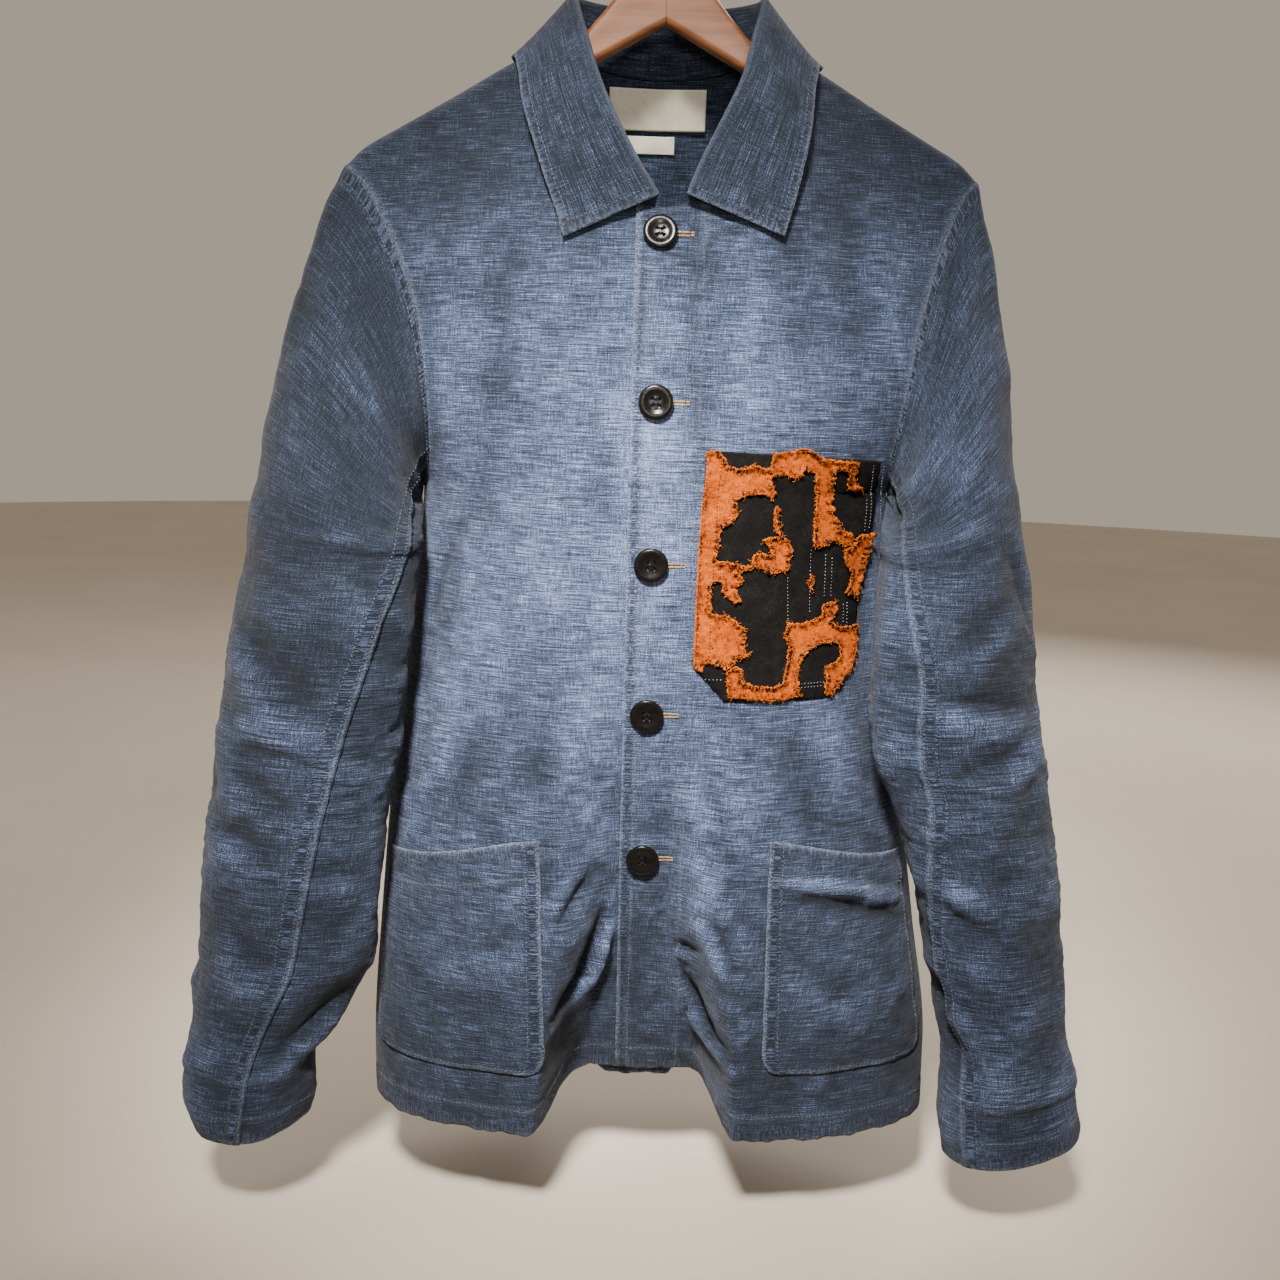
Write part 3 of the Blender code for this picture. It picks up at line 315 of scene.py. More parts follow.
# Creases on the lower pockets, in the same terms
POCKET_CREASES = [
    ([(-0.1001, 0.5720), (-0.0729, 0.5600)], 0.0014, 0.0050, 1),
    ([(-0.1157, 0.6175), (-0.0797, 0.6008)], 0.0016, 0.0060, 1),
    ([(-0.1650, 0.640), (-0.1400, 0.655), (-0.1050, 0.650)], 0.0012, 0.0080, -1),
    ([(0.0923, 0.5700), (0.1433, 0.5800), (0.1581, 0.5880), (0.1880, 0.5950)], 0.0056, 0.0042, -1),
    ([(0.1750, 0.6680), (0.2027, 0.6567)], 0.0018, 0.0060, -1),
    ([(0.1150, 0.620), (0.1400, 0.640), (0.1650, 0.636)], 0.0014, 0.0080, 1),
]
# Creases of the sleeves: points as (turn, drop)
SLEEVE_CREASES = {
    -1: [
        ([(0.131, 0.3945), (0.231, 0.4206), (0.304, 0.4501)], 0.0040, 0.0080, 1),
        ([(0.140, 0.477), (0.229, 0.4815), (0.300, 0.4850)], 0.0034, 0.0070, -1),
        ([(0.163, 0.4960), (0.290, 0.5190)], 0.0024, 0.0065, 1),
        ([(0.120, 0.5328), (0.264, 0.5495)], 0.0026, 0.0075, 1),
        ([(0.312, 0.5596), (0.441, 0.5637)], 0.0026, 0.0065, 1),
        ([(0.000, 0.6388), (0.101, 0.6504)], 0.0026, 0.0070, 1),
        ([(0.471, 0.6440), (0.391, 0.6760), (0.305, 0.7060)], 0.0050, 0.0085, -1),
        ([(0.473, 0.469), (0.500, 0.4651)], 0.0022, 0.0050, 1),
        ([(0.342, 0.4778), (0.450, 0.4879)], 0.0024, 0.0060, 1),
        ([(0.380, 0.360), (0.440, 0.400), (0.470, 0.430)], 0.0030, 0.0070, 1),
        ([(0.020, 0.470), (0.080, 0.500), (0.110, 0.540)], 0.0020, 0.0090, -1),
        ([(0.180, 0.600), (0.260, 0.625), (0.330, 0.620)], 0.0020, 0.0080, 1),
        ([(-0.180, 0.430), (-0.090, 0.455), (0.000, 0.440)], 0.0028, 0.0090, 1),
        ([(-0.200, 0.560), (-0.110, 0.590), (-0.030, 0.585)], 0.0026, 0.0090, -1),
        ([(0.560, 0.450), (0.650, 0.470), (0.740, 0.460)], 0.0030, 0.0080, 1),
        ([(0.550, 0.600), (0.640, 0.620), (0.720, 0.640)], 0.0026, 0.0090, 1),
    ],
    1: [
        ([(0.190, 0.3252), (0.160, 0.355), (0.117, 0.3862)], 0.0026, 0.0080, 1),
        ([(0.200, 0.3652), (0.341, 0.4033)], 0.0030, 0.0070, 1),
        ([(0.353, 0.4258), (0.259, 0.4320), (0.144, 0.4380)], 0.0040, 0.0070, -1),
        ([(0.326, 0.4811), (0.211, 0.4701), (0.152, 0.454)], 0.0032, 0.0065, -1),
        ([(0.154, 0.482), (0.182, 0.5089)], 0.0020, 0.0060, 1),
        ([(0.429, 0.5717), (0.309, 0.5912)], 0.0030, 0.0070, 1),
        ([(0.496, 0.6373), (0.445, 0.6721), (0.375, 0.7023)], 0.0036, 0.0080, 1),
        ([(0.080, 0.620), (0.160, 0.640), (0.240, 0.632)], 0.0018, 0.0080, 1),
        ([(0.300, 0.520), (0.380, 0.535), (0.440, 0.530)], 0.0022, 0.0070, -1),
        ([(-0.190, 0.420), (-0.100, 0.445), (-0.010, 0.435)], 0.0028, 0.0090, 1),
        ([(-0.200, 0.560), (-0.110, 0.580), (-0.030, 0.600)], 0.0026, 0.0090, -1),
        ([(0.560, 0.470), (0.650, 0.480), (0.740, 0.462)], 0.0030, 0.0080, 1),
        ([(0.550, 0.610), (0.640, 0.640), (0.720, 0.630)], 0.0026, 0.0090, 1),
    ],
}
BACK_CREASES = [
    ([(-0.120, 0.180), (-0.090, 0.260), (-0.075, 0.360)], 0.0024, 0.0130, 1),
    ([(0.125, 0.190), (0.100, 0.280), (0.082, 0.380)], 0.0024, 0.0130, -1),
    ([(-0.150, 0.340), (-0.110, 0.420), (-0.090, 0.520)], 0.0030, 0.0110, 1),
    ([(0.150, 0.350), (0.118, 0.430), (0.095, 0.540)], 0.0030, 0.0110, -1),
    ([(-0.040, 0.560), (-0.052, 0.640), (-0.058, 0.740)], 0.0030, 0.0090, -1),
    ([(0.038, 0.570), (0.050, 0.650), (0.060, 0.745)], 0.0030, 0.0090, 1),
    ([(-0.030, 0.120), (0.000, 0.135), (0.034, 0.118)], 0.0012, 0.0100, 1),
    ([(-0.140, 0.600), (-0.120, 0.660), (-0.125, 0.730)], 0.0024, 0.0110, 1),
    ([(0.150, 0.590), (0.130, 0.660), (0.136, 0.735)], 0.0024, 0.0110, -1),
]


# Curves and shares


def through(stations, at):
    """A smooth curve through (place, value) stations that never swings past them."""
    place = np.array([station[0] for station in stations])
    value = np.array([station[1] for station in stations])
    at = np.clip(at, place[0], place[-1])
    chord = np.diff(value) / np.diff(place)
    before, after = chord[:-1], chord[1:]
    same_way = before * after > 0
    both = np.where(same_way, before + after, 1.0)
    slope = np.concatenate([chord[:1], np.where(same_way, 2 * before * after / both, 0.0), chord[-1:]])
    index = np.clip(np.searchsorted(place, at, side="right") - 1, 0, len(place) - 2)
    width = place[index + 1] - place[index]
    t = (at - place[index]) / width
    return ((2 * t**3 - 3 * t**2 + 1) * value[index] + (t**3 - 2 * t**2 + t) * width * slope[index]
            + (3 * t**2 - 2 * t**3) * value[index + 1] + (t**3 - t**2) * width * slope[index + 1])


def straight(stations, at):
    """The broken line through (place, value) stations."""
    return np.interp(at, [s[0] for s in stations], [s[1] for s in stations])


def ease(x):
    """0 to 1 as x goes from 0 to 1, with level ends."""
    x = np.clip(x, 0.0, 1.0)
    return x * x * (3 - 2 * x)


def mix(a, b, share):
    return a + (b - a) * share


def bell(gap, width):
    """1 where the gap is nothing, fading over the width."""
    return np.exp(-((gap / width) ** 2))


def level(drop):
    return SHOULDER_POINT_Z - drop


def stack(x, y, z):
    return np.stack(np.broadcast_arrays(x, y, z), axis=-1)


def unit(ways):
    return ways / np.maximum(np.linalg.norm(ways, axis=-1, keepdims=True), 1e-12)


# Body


def shoulder_drop(x):
    return through(SHOULDER_LINE, np.abs(x))


def side_width(x, drop):
    """Half width of the armhole edge, and of the side seam below it, on the side of x."""
    left = np.where(drop < UNDERARM_DROP, through(ARMHOLE_LEFT, drop), through(SIDE_LEFT, drop))
    right = np.where(drop < UNDERARM_DROP, through(ARMHOLE_RIGHT, drop), through(SIDE_RIGHT, drop))
    return np.where(x > 0, left, right)


def swing_span(drop, recess):
    width = through(SWING, drop)
    return np.maximum(recess - 0.3 * width, SWING_START), width


def body_depth(x, drop, middle, lobe, rise, recess):
    """How far the cloth stands off the side-seam plane at (x, drop)."""
    below = np.maximum(drop - shoulder_drop(x), 0.0)
    start, width = swing_span(drop, recess)
    swing = ease((np.abs(x) - start) / width)
    full = mix(through(middle, drop), through(lobe, drop), swing)
    meet = side_width(x, np.maximum(drop, SHOULDER_DROP))
    meet = meet + np.where(drop < UNDERARM_DROP, through(ROUND_EXCESS, drop), 0.0)
    share = np.minimum(np.abs(x) / meet, 1.0)
    full = full * (1.0 - share * share) ** through(ROUND_POWER, drop)
    over = np.minimum(below, RIDGE_RADIUS)
    ridge = np.sqrt(RIDGE_RADIUS**2 - (RIDGE_RADIUS - over) ** 2)
    grow = 1.0 - np.exp(-((below / rise) ** 1.1))
    return np.where(full <= RIDGE_RADIUS, np.minimum(ridge, full),
                    ridge + (full - RIDGE_RADIUS) * grow)


def front_depth(x, drop):
    recess = np.where(x > 0, through(RECESS_LEFT, drop), through(RECESS_RIGHT, drop))
    return body_depth(x, drop, FRONT_MIDDLE, FRONT_LOBE, FRONT_RISE, recess)


def back_depth(x, drop):
    return body_depth(x, drop, BACK_MIDDLE, BACK_LOBE, BACK_RISE, BACK_RECESS)


def front_form(x, drop):
    return stack(x, -front_depth(x, drop) - SEAM_HALF, level(drop))


def back_form(x, drop):
    return stack(x, back_depth(x, drop) + SEAM_HALF, level(drop))


def outward(form, a, b, step=0.0006):
    """Which way is out of a form, from how it runs across and down."""
    across = form(a + step, b) - form(a - step, b)
    down = form(a, b + step) - form(a, b - step)
    return unit(np.cross(down, across))


def overlap_lift(x):
    """How far the left front stands off the shared front surface, over the right front."""
    return (CLOTH + LAYER_GAP) * (1 - ease((x - 0.027) / 0.018))


def front_hem(x):
    return FRONT_LENGTH - MIDDLE_RISE * (1 - ease((np.abs(x) - 0.030) / 0.050))


def back_hem(x):
    return mix(BACK_LENGTH, FRONT_LENGTH, ease((np.abs(x) - 0.050) / 0.140))


# Creases and rumples


def from_line(points, a, b):
    """How far each place is from a broken line, signed by side, and how far along it, 0 to 1."""
    near = np.full(np.shape(a), np.inf)
    signed = np.zeros(np.shape(a))
    share = np.zeros(np.shape(a))
    lengths = [math.dist(p, q) for p, q in zip(points, points[1:])]
    whole = sum(lengths)
    run = 0.0
    for (ax, ay), (bx, by), length in zip(points, points[1:], lengths):
        wx, wy = (bx - ax) / length, (by - ay) / length
        t = np.clip((a - ax) * wx + (b - ay) * wy, 0.0, length)
        gx, gy = a - ax - t * wx, b - ay - t * wy
        gap = np.hypot(gx, gy)
        closer = gap < near
        near = np.where(closer, gap, near)
        side = np.where(wx * gy - wy * gx >= 0, 1.0, -1.0)
        signed = np.where(closer, gap * side, signed)
        share = np.where(closer, (run + t) / whole, share)
        run += length
    return signed, share


def creased(creases, a, b, round_size=1.0):
    """Troughs along the creases, each with a soft ridge beside it."""
    height = np.zeros(np.shape(a))
    for points, depth, width, ridge in creases:
        line = [(p[0] * round_size, p[1]) for p in points]
        signed, share = from_line(line, a * round_size, b)
        taper = 0.25 + 0.75 * np.sin(np.pi * np.clip(share, 0.0, 1.0))
        trough = np.exp(-((np.abs(signed) / width) ** 1.25))
        beside = bell(signed - ridge * 1.9 * width, 1.5 * width)
        height += depth * taper * (0.75 * beside - trough)
    return height


def rumple(a, b, seed, shortest, longest, height, waves=12, sharp=0.0):
    """Seeded crossing waves, bent by one another, as in washed linen."""
    pick = random.Random(seed)
    total = np.zeros(np.shape(a))
    for _ in range(waves):
        size = longest * (shortest / longest) ** pick.random()
        turn = pick.uniform(0, math.pi)
        along = (a * math.cos(turn) + b * math.sin(turn)) / size
        aside = (b * math.cos(turn) - a * math.sin(turn)) / size
        bend = 0.45 * np.sin(2 * math.pi * aside / 2.3 + pick.uniform(0, 6.28))
        wave = np.sin(2 * math.pi * (along + bend) + pick.uniform(0, 6.28))
        wave = mix(wave, 1.2 - 2.4 * np.abs(wave) ** 0.7, sharp)
        total += wave * (size / longest) ** 0.7
    return height * total / math.sqrt(waves)


def pucker(along, gap, spacing, reach, height, seed):
    """Small waves that sewing draws into the cloth beside a seam."""
    wander = 0.35 * np.sin(along * 118 + seed) + 0.25 * np.sin(along * 291 + 2 * seed)
    return height * np.cos(2 * math.pi * (along / spacing + wander)) * bell(gap, reach)


def body_fade(x, drop):
    side = ease((side_width(x, drop) - np.abs(x)) / 0.016)
    return side * ease((drop - shoulder_drop(x)) / 0.026)


def front_relief(x, drop):
    height = CREASE_GAIN * creased(FRONT_CREASES, x, drop)
    low = ease((drop - 0.36) / 0.22)
    height += rumple(x, drop, 11, 0.045, 0.150, 0.0015) * mix(0.45, 1.0, low)
    height += rumple(x * 1.25, drop * 0.8, 12, 0.016, 0.050, 0.00075,
                     sharp=0.55) * mix(0.22, 1.25, low)
    hem_gap = front_hem(x) - drop
    height += pucker(x, hem_gap - 0.012, 0.011, 0.010, 0.00035, 1.0)
    return height * body_fade(x, drop)


def left_front_relief(x, drop):
    """What lies only in the left front: its facing's step and the rows of sewing."""
    height = 0.00035 * (1 - ease((x - FACING_LINE + 0.002) / 0.004))
    height -= (0.00030 * bell(x - FACING_LINE, 0.0010)
               + 0.00030 * bell(x + OVERLAP - FRONT_STITCH, 0.0010))
    height += pucker(drop, x - FACING_LINE, 0.009, 0.005, 0.00022, 2.0)
    height += pucker(drop, x + OVERLAP, 0.008, 0.007, 0.00028, 3.0)
    return height


def hem_relief(gap, stitch):
    """The doubled hem, with its line of sewing pressed in."""
    return 0.00035 * (1 - ease((gap - stitch) / 0.002)) - 0.00035 * bell(gap - stitch, 0.0011)


def back_relief(x, drop):
    height = CREASE_GAIN * creased(BACK_CREASES, x, drop)
    low = ease((drop - 0.30) / 0.30)
    height += rumple(x, drop, 21, 0.050, 0.160, 0.0018)
    height += rumple(x * 1.25, drop * 0.8, 22, 0.016, 0.050, 0.0008, sharp=0.55) * mix(0.4, 1.1, low)
    height += pucker(x, back_hem(x) - drop - 0.012, 0.011, 0.010, 0.00035, 4.0)
    return height * body_fade(x, drop)


def front_skin(x, drop, lift=0.0):
    """A point on the creased front, moved out of it by `lift`."""
    out = outward(front_form, x, drop)
    return front_form(x, drop) + out * (front_relief(x, drop) + lift)[..., None]


def left_skin(x, drop, lift=0.0):
    extra = left_front_relief(x, drop) + hem_relief(front_hem(x) - drop, HEM_STITCH)
    return front_skin(x, drop, overlap_lift(x) + extra + lift)


def right_skin(x, drop, lift=0.0):
    return front_skin(x, drop, hem_relief(front_hem(x) - drop, HEM_STITCH) + lift)


def back_skin(x, drop, lift=0.0):
    out = -outward(back_form, x, drop)
    height = back_relief(x, drop) + hem_relief(back_hem(x) - drop, HEM_STITCH)
    return back_form(x, drop) + out * (height + lift)[..., None]


# Sleeves


def sleeve_parts(side):
    if side > 0:
        return SLEEVE_LEFT, FRONT_SEAM_LEFT
    return SLEEVE_RIGHT, FRONT_SEAM_RIGHT


def armhole_form(side, turn):
    """The armhole's edge, `turn` of the way round it from the shoulder over the front."""
    drop = SHOULDER_DROP + (UNDERARM_DROP - SHOULDER_DROP) * (1 - np.cos(2 * np.pi * turn)) / 2
    x = side * side_width(np.full(np.shape(drop), float(side)), drop)
    depth = np.where(turn % 1.0 < 0.5, -front_depth(x, drop) - SEAM_HALF,
                     back_depth(x, drop) + SEAM_HALF)
    return stack(x, depth, level(drop))


def sleeve_ring(side, drop, turn):
    """A point on the sleeve's flattened ring at `drop`, `turn` of the way from its outer edge."""
    stations, _ = sleeve_parts(side)
    column = [through([(s[0], s[i]) for s in stations], drop) for i in range(1, 6)]
    inner = stack(column[0], column[2], 0.0)
    outer = stack(column[1], column[3], 0.0)
    long_way = (outer - inner) / 2
    short_way = unit(stack(long_way[..., 1], -long_way[..., 0], 0.0)) * column[4][..., None]
    angle = 2 * np.pi * turn
    flat = ((inner + outer) / 2 + long_way * np.cos(angle)[..., None]
            + short_way * np.sin(angle)[..., None])
    end = ease((drop - CUFF_START) / (stations[-1][0] - CUFF_START))
    rise = end * (CUFF_RISE[side] * np.cos(angle) ** 2 + CUFF_TILT[side] * np.cos(angle))
    return stack(side * flat[..., 0], flat[..., 1], level(drop - rise))


def sleeve_turns(side, under, q, s):
    """Turn on the sleeve's rings and turn round the armhole, q from one seam to the other."""
    stations, front_seam = sleeve_parts(side)
    drop = SLEEVE_TOP_DROP + np.maximum(s, 0.0) * (stations[-1][0] - SLEEVE_TOP_DROP)
    front = through(front_seam, drop)
    back = through(BACK_SEAM, drop)
    if under:
        return drop, mix(front, back, q), mix(ARMHOLE_FRONT_SEAM, ARMHOLE_BACK_SEAM, q)
    return drop, mix(back - 1, front, q), mix(ARMHOLE_BACK_SEAM - 1, ARMHOLE_FRONT_SEAM, q)


def sleeve_form(side, under, q, s):
    """q from one seam to the other; s below 0 is above the sleeve's first full ring."""
    drop, turn, hole_turn = sleeve_turns(side, under, q, s)
    ring = sleeve_ring(side, drop, turn)
    hole = armhole_form(side, hole_turn)
    upper = 0.5 + 0.5 * np.cos(2 * np.pi * hole_turn)
    reach = (np.linalg.norm(ring - hole, axis=-1) * mix(0.6, 1.0, upper))[..., None]
    face = np.sin(2 * np.pi * hole_turn)
    ones = np.ones(np.shape(hole_turn))
    over_crown = unit(stack(side * CROWN_OUT[side] * ones, -0.30 * face, -0.87 * ones))
    under_arm = unit(unit(ring - hole) + stack(side * 1.1 * ones, 0.0, 0.0))
    leave = unit(mix(under_arm, over_crown, upper[..., None]))
    arrive = unit(stack(side * 0.16 * ones, -0.08, -1.0))
    set_off = hole - leave * 0.0004
    t = np.clip(1.0 + s, 0.0, 1.0)[..., None]
    head = ((2 * t**3 - 3 * t**2 + 1) * set_off + (t**3 - 2 * t**2 + t) * leave * reach
            + (3 * t**2 - 2 * t**3) * ring + (t**3 - t**2) * arrive * reach)
    return np.where(s[..., None] >= 0.0, ring, head)


def sleeve_drop(s, side):
    """A drop that runs on above the first full ring."""
    stations, _ = sleeve_parts(side)
    return np.where(s >= 0, SLEEVE_TOP_DROP + s * (stations[-1][0] - SLEEVE_TOP_DROP),
                    SLEEVE_TOP_DROP + s * HEAD_LENGTH)


def sleeve_relief(side, under, q, s):
    stations, _ = sleeve_parts(side)
    _, turn, _ = sleeve_turns(side, under, q, s)
    drop = sleeve_drop(s, side)
    around = turn * SLEEVE_ROUND
    height = CREASE_GAIN * creased(SLEEVE_CREASES[side], turn, drop, SLEEVE_ROUND)
    elbow = bell(drop - 0.52, 0.16)
    height += rumple(around, drop, 31 + side, 0.040, 0.120, 0.0017)
    fine = rumple(around * 0.8, drop * 1.2, 34 + side, 0.015, 0.046, 0.0009, sharp=0.55)
    height += fine * mix(0.45, 1.2, elbow)
    head = (1 + s) * HEAD_LENGTH
    height *= ease(head / 0.030)
    height += (0.0010 * bell(head - 0.004, 0.005)
               + pucker(around, head - 0.004, 0.0075, 0.006, 0.00035, 5.0))
    seam = np.minimum(q, 1 - q) * SLEEVE_ROUND * (UNDER_SHARE if under else TOP_SHARE)
    if not under:
        front_gap = (1 - q) * SLEEVE_ROUND * TOP_SHARE
        height += 0.0007 * (1 - ease((front_gap - 0.009) / 0.003))
        height += pucker(drop, front_gap - 0.004, 0.0085, 0.006, 0.00030, 6.0)
        height += 0.0006 * (1 - ease((seam - 0.003) / 0.003))
    cuff = stations[-1][0] - drop
    step = ease((cuff - 0.040) / 0.002) * (1 - ease((cuff - 0.052) / 0.034))
    height += 0.0036 * step * bell(turn - (0.21 if side > 0 else 0.19), 0.24)
    notch_drop = 0.640 if side > 0 else 0.704
    notch = bell((turn - 0.49) * SLEEVE_ROUND, 0.026) * bell(drop - notch_drop, 0.013)
    height -= 0.0085 * notch
    return height + hem_relief(cuff, CUFF_STITCH)


def sleeve_skin(side, under, q, s, lift=0.0):
    def form(a, b):
        return sleeve_form(side, under, a, b)

    step = 0.004
    across = form(q + step, s) - form(q - step, s)
    below = np.maximum(s - step, -0.9999)
    along = form(q, s + step) - form(q, below)
    out = unit(np.cross(across, along)) * side
    height = sleeve_relief(side, under, q, s) + lift
    return form(q, s) + out * np.asarray(height)[..., None]


# Collar


def rail(stations, share):
    """A point on a rail that runs on as its own mirror image past the middle of the back."""
    place, x, y, drop = stations[1]
    whole = [(-place, -x, y, drop)] + stations
    return [float(through([(s[0], s[axis]) for s in whole], share)) for axis in (1, 2, 3)]


def collar_rail(right_stations, left_stations, s):
    x, y, drop = rail(left_stations if s > 0 else right_stations, abs(s))
    return Vector((x if s > 0 else -x, y, level(drop)))


def neck_seam(s):
    """The neckline of the fronts and the back, s from -1 at the right end to 1 at the left."""
    share = abs(s)
    sign = 1 if s > 0 else -1
    if share < COLLAR_SHOULDER:
        turn = math.pi / 2 * share / COLLAR_SHOULDER
        x, drop = NECK_HALF * math.sin(turn), NECK_TOP + BACK_NECK * math.cos(turn)
        return Vector(back_form(np.float64(sign * x), np.float64(drop)))
    end = COLLAR_END_LEFT if s > 0 else COLLAR_END_RIGHT
    turn = mix(math.pi / 2, end, (share - COLLAR_SHOULDER) / (1 - COLLAR_SHOULDER))
    x, drop = NECK_HALF * math.sin(turn), NECK_TOP + FRONT_NECK * math.cos(turn)
    return Vector(front_form(np.float64(sign * x), np.float64(drop)))


def body_gap(point):
    """How far a point stands clear of the body's cloth, negative inside it."""
    drop = SHOULDER_POINT_Z - point.z
    above = float(shoulder_drop(point.x)) - drop
    if above > 0:
        return math.hypot(above, point.y)
    return max(-point.y - float(front_depth(point.x, drop)),
               point.y - float(back_depth(point.x, drop)))


def collar_section(s):
    """Points across the collar at s: up the stand, over the fold and out along the leaf."""
    step = 0.01
    roll = collar_rail(COLLAR_ROLL_RIGHT, COLLAR_ROLL_LEFT, s)
    edge = collar_rail(COLLAR_EDGE_RIGHT, COLLAR_EDGE_LEFT, s)
    seam = neck_seam(s)
    tangent = (collar_rail(COLLAR_ROLL_RIGHT, COLLAR_ROLL_LEFT, min(s + step, 1.0))
               - collar_rail(COLLAR_ROLL_RIGHT, COLLAR_ROLL_LEFT, max(s - step, -1.0))).normalized()

    def square(way):
        return (way - tangent * way.dot(tangent)).normalized()

    to_seam = square(seam - roll)
    to_edge = square(edge - roll)
    apex = -(to_seam + to_edge).normalized()
    out = square((to_edge - to_seam) - apex * (to_edge - to_seam).dot(apex))
    inward = math.exp(-(((abs(s) - 0.44) / 0.05) ** 2)) * math.copysign(0.0012, s)
    foot = seam + (roll - seam).normalized() * COLLAR_FOOT * 0.5 - Vector((inward, 0, 0))
    inner = roll - out * COLLAR_FOLD
    outer = roll + out * COLLAR_FOLD
    points = [foot.lerp(inner, share) for share in (0.0, 0.35, 0.7, 1.0)]
    for angle in (45, 90, 135):
        turn = math.radians(angle)
        points.append(roll - out * COLLAR_FOLD * math.cos(turn) + apex * COLLAR_FOLD * math.sin(turn))
    for share in (0.0, 0.14, 0.3, 0.48, 0.66, 0.84, 1.0):
        point = outer.lerp(edge, share)
        tries = 0
        while body_gap(point) < COLLAR_CLEAR + 0.002 * (1 - share) and tries < 100:
            point = point + out * 0.0006
            tries += 1
        points.append(point)
    return [tuple(point) for point in points]


def finer(points, count):
    """The same run of points (along the first axis) at `count` places on a smooth curve."""
    last = len(points) - 1
    at = np.linspace(0, last, count)
    index = np.clip(at.astype(int), 0, last - 1)
    t = (at - index).reshape((-1,) + (1,) * (points.ndim - 1))
    before = points[np.clip(index - 1, 0, last)]
    here = points[index]
    after = points[index + 1]
    beyond = points[np.clip(index + 2, 0, last)]
    return 0.5 * (2 * here + (after - before) * t + (2 * before - 5 * here + 4 * after - beyond) * t**2
                  + (3 * here - before - 3 * after + beyond) * t**3)


def running(points, axis):
    """Length run along an axis of a grid of points."""
    steps = np.linalg.norm(np.diff(points, axis=axis), axis=-1)
    start = np.zeros_like(np.take(steps, [0], axis=axis))
    return np.concatenate([start, np.cumsum(steps, axis=axis)], axis=axis)


# Making meshes


def give_attributes(mesh, facts):
    for name, values in facts.items():
        layer = mesh.attributes.new(name, "FLOAT", "POINT")
        layer.data.foreach_set("value", np.ascontiguousarray(values, dtype=np.float32))


def give_uv(mesh, uv):
    layer = mesh.uv_layers.new(name="Cloth")
    corner = np.empty(len(mesh.loops), dtype=np.int32)
    mesh.loops.foreach_get("vertex_index", corner)
    layer.data.foreach_set("uv", np.ascontiguousarray(uv[corner], dtype=np.float32).ravel())


def mesh_of(shape, name):
    """The smooth mesh of a finished bmesh."""
    mesh = bpy.data.meshes.new(name)
    shape.to_mesh(mesh)
    shape.free()
    mesh.shade_smooth()
    return mesh


def settle(name, data, kind, nodes=()):
    """Put a piece on the jacket's body, with its material, and hide the CAD nodes that it stands for."""
    obj = bpy.data.objects.new(name, data)
    bpy.context.scene.collection.objects.link(obj)
    data.materials.append(stuff(kind))
    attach(obj, "root")
    if nodes:
        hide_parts(*nodes)
    return obj


def thicken(obj, wall):
    """Give cloth its thickness, half on each side."""
    thickness = obj.modifiers.new("Cloth thickness", "SOLIDIFY")
    thickness.thickness = wall
    thickness.offset = 0.0
    return obj


def round_line(name, radius, resolution):
    """An empty curve whose runs are drawn as round thread or wire."""
    curve = bpy.data.curves.new(name, "CURVE")
    curve.dimensions = "3D"
    curve.bevel_depth = radius
    curve.bevel_resolution = resolution
    return curve


def add_run(curve, points):
    """A run of thread or wire through the points."""
    spline = curve.splines.new("POLY")
    spline.points.add(len(points) - 1)
    spline.points.foreach_set("co", np.c_[points, np.ones(len(points))].ravel())


def cloth_mesh(name, across, along, place, flip):
    """A grid of cloth whose points, UV map and attributes `place` gives."""
    grid = bmesh.new()
    bmesh.ops.create_grid(grid, x_segments=across, y_segments=along, size=0.5)
    if flip:
        bmesh.ops.reverse_faces(grid, faces=grid.faces)
    mesh = mesh_of(grid, name)
    flat = np.empty(len(mesh.vertices) * 3)
    mesh.vertices.foreach_get("co", flat)
    flat = flat.reshape(-1, 3) + 0.5
    points, uv, facts = place(flat[:, 0], flat[:, 1])
    mesh.vertices.foreach_set("co", np.ascontiguousarray(points, dtype=np.float64).ravel())
    give_uv(mesh, uv)
    give_attributes(mesh, facts)
    mesh.update()
    return mesh


def cloth_piece(name, across, along, place, flip, nodes, kind="indigo",
                wall=PANEL_WALL):
    mesh = cloth_mesh(name, across, along, place, flip)
    return thicken(settle(name, mesh, kind, nodes), wall)


def arc_across(form, x, drop):
    """How far round the cloth a place is from the middle, by a lattice over the form."""
    xs = np.linspace(-0.225, 0.225, 181)
    drops = np.linspace(0.0, 0.79, 80)
    lattice = form(*np.meshgrid(xs, drops))
    run = running(lattice, 1)
    run = run - run[:, [90]]
    i = np.clip((x - xs[0]) / (xs[1] - xs[0]), 0, 179.999)
    j = np.clip((drop - drops[0]) / (drops[1] - drops[0]), 0, 78.999)
    i0, j0 = i.astype(int), j.astype(int)
    fi, fj = i - i0, j - j0
    upper = mix(run[j0, i0], run[j0, i0 + 1], fi)
    lower = mix(run[j0 + 1, i0], run[j0 + 1, i0 + 1], fi)
    return mix(upper, lower, fj)


def neck_turn(along, near, crowd):
    return mix(-math.asin(near / NECK_HALF), math.pi / 2, 1 - (1 - along) ** crowd)


def panel_rows(share, height):
    ridge_share = 0.06
    ridge = RIDGE_RADIUS * 1.2
    return np.where(share < ridge_share, ridge * (share / ridge_share) ** 2.0,
                    mix(ridge, height, (share - ridge_share) / (1 - ridge_share)))


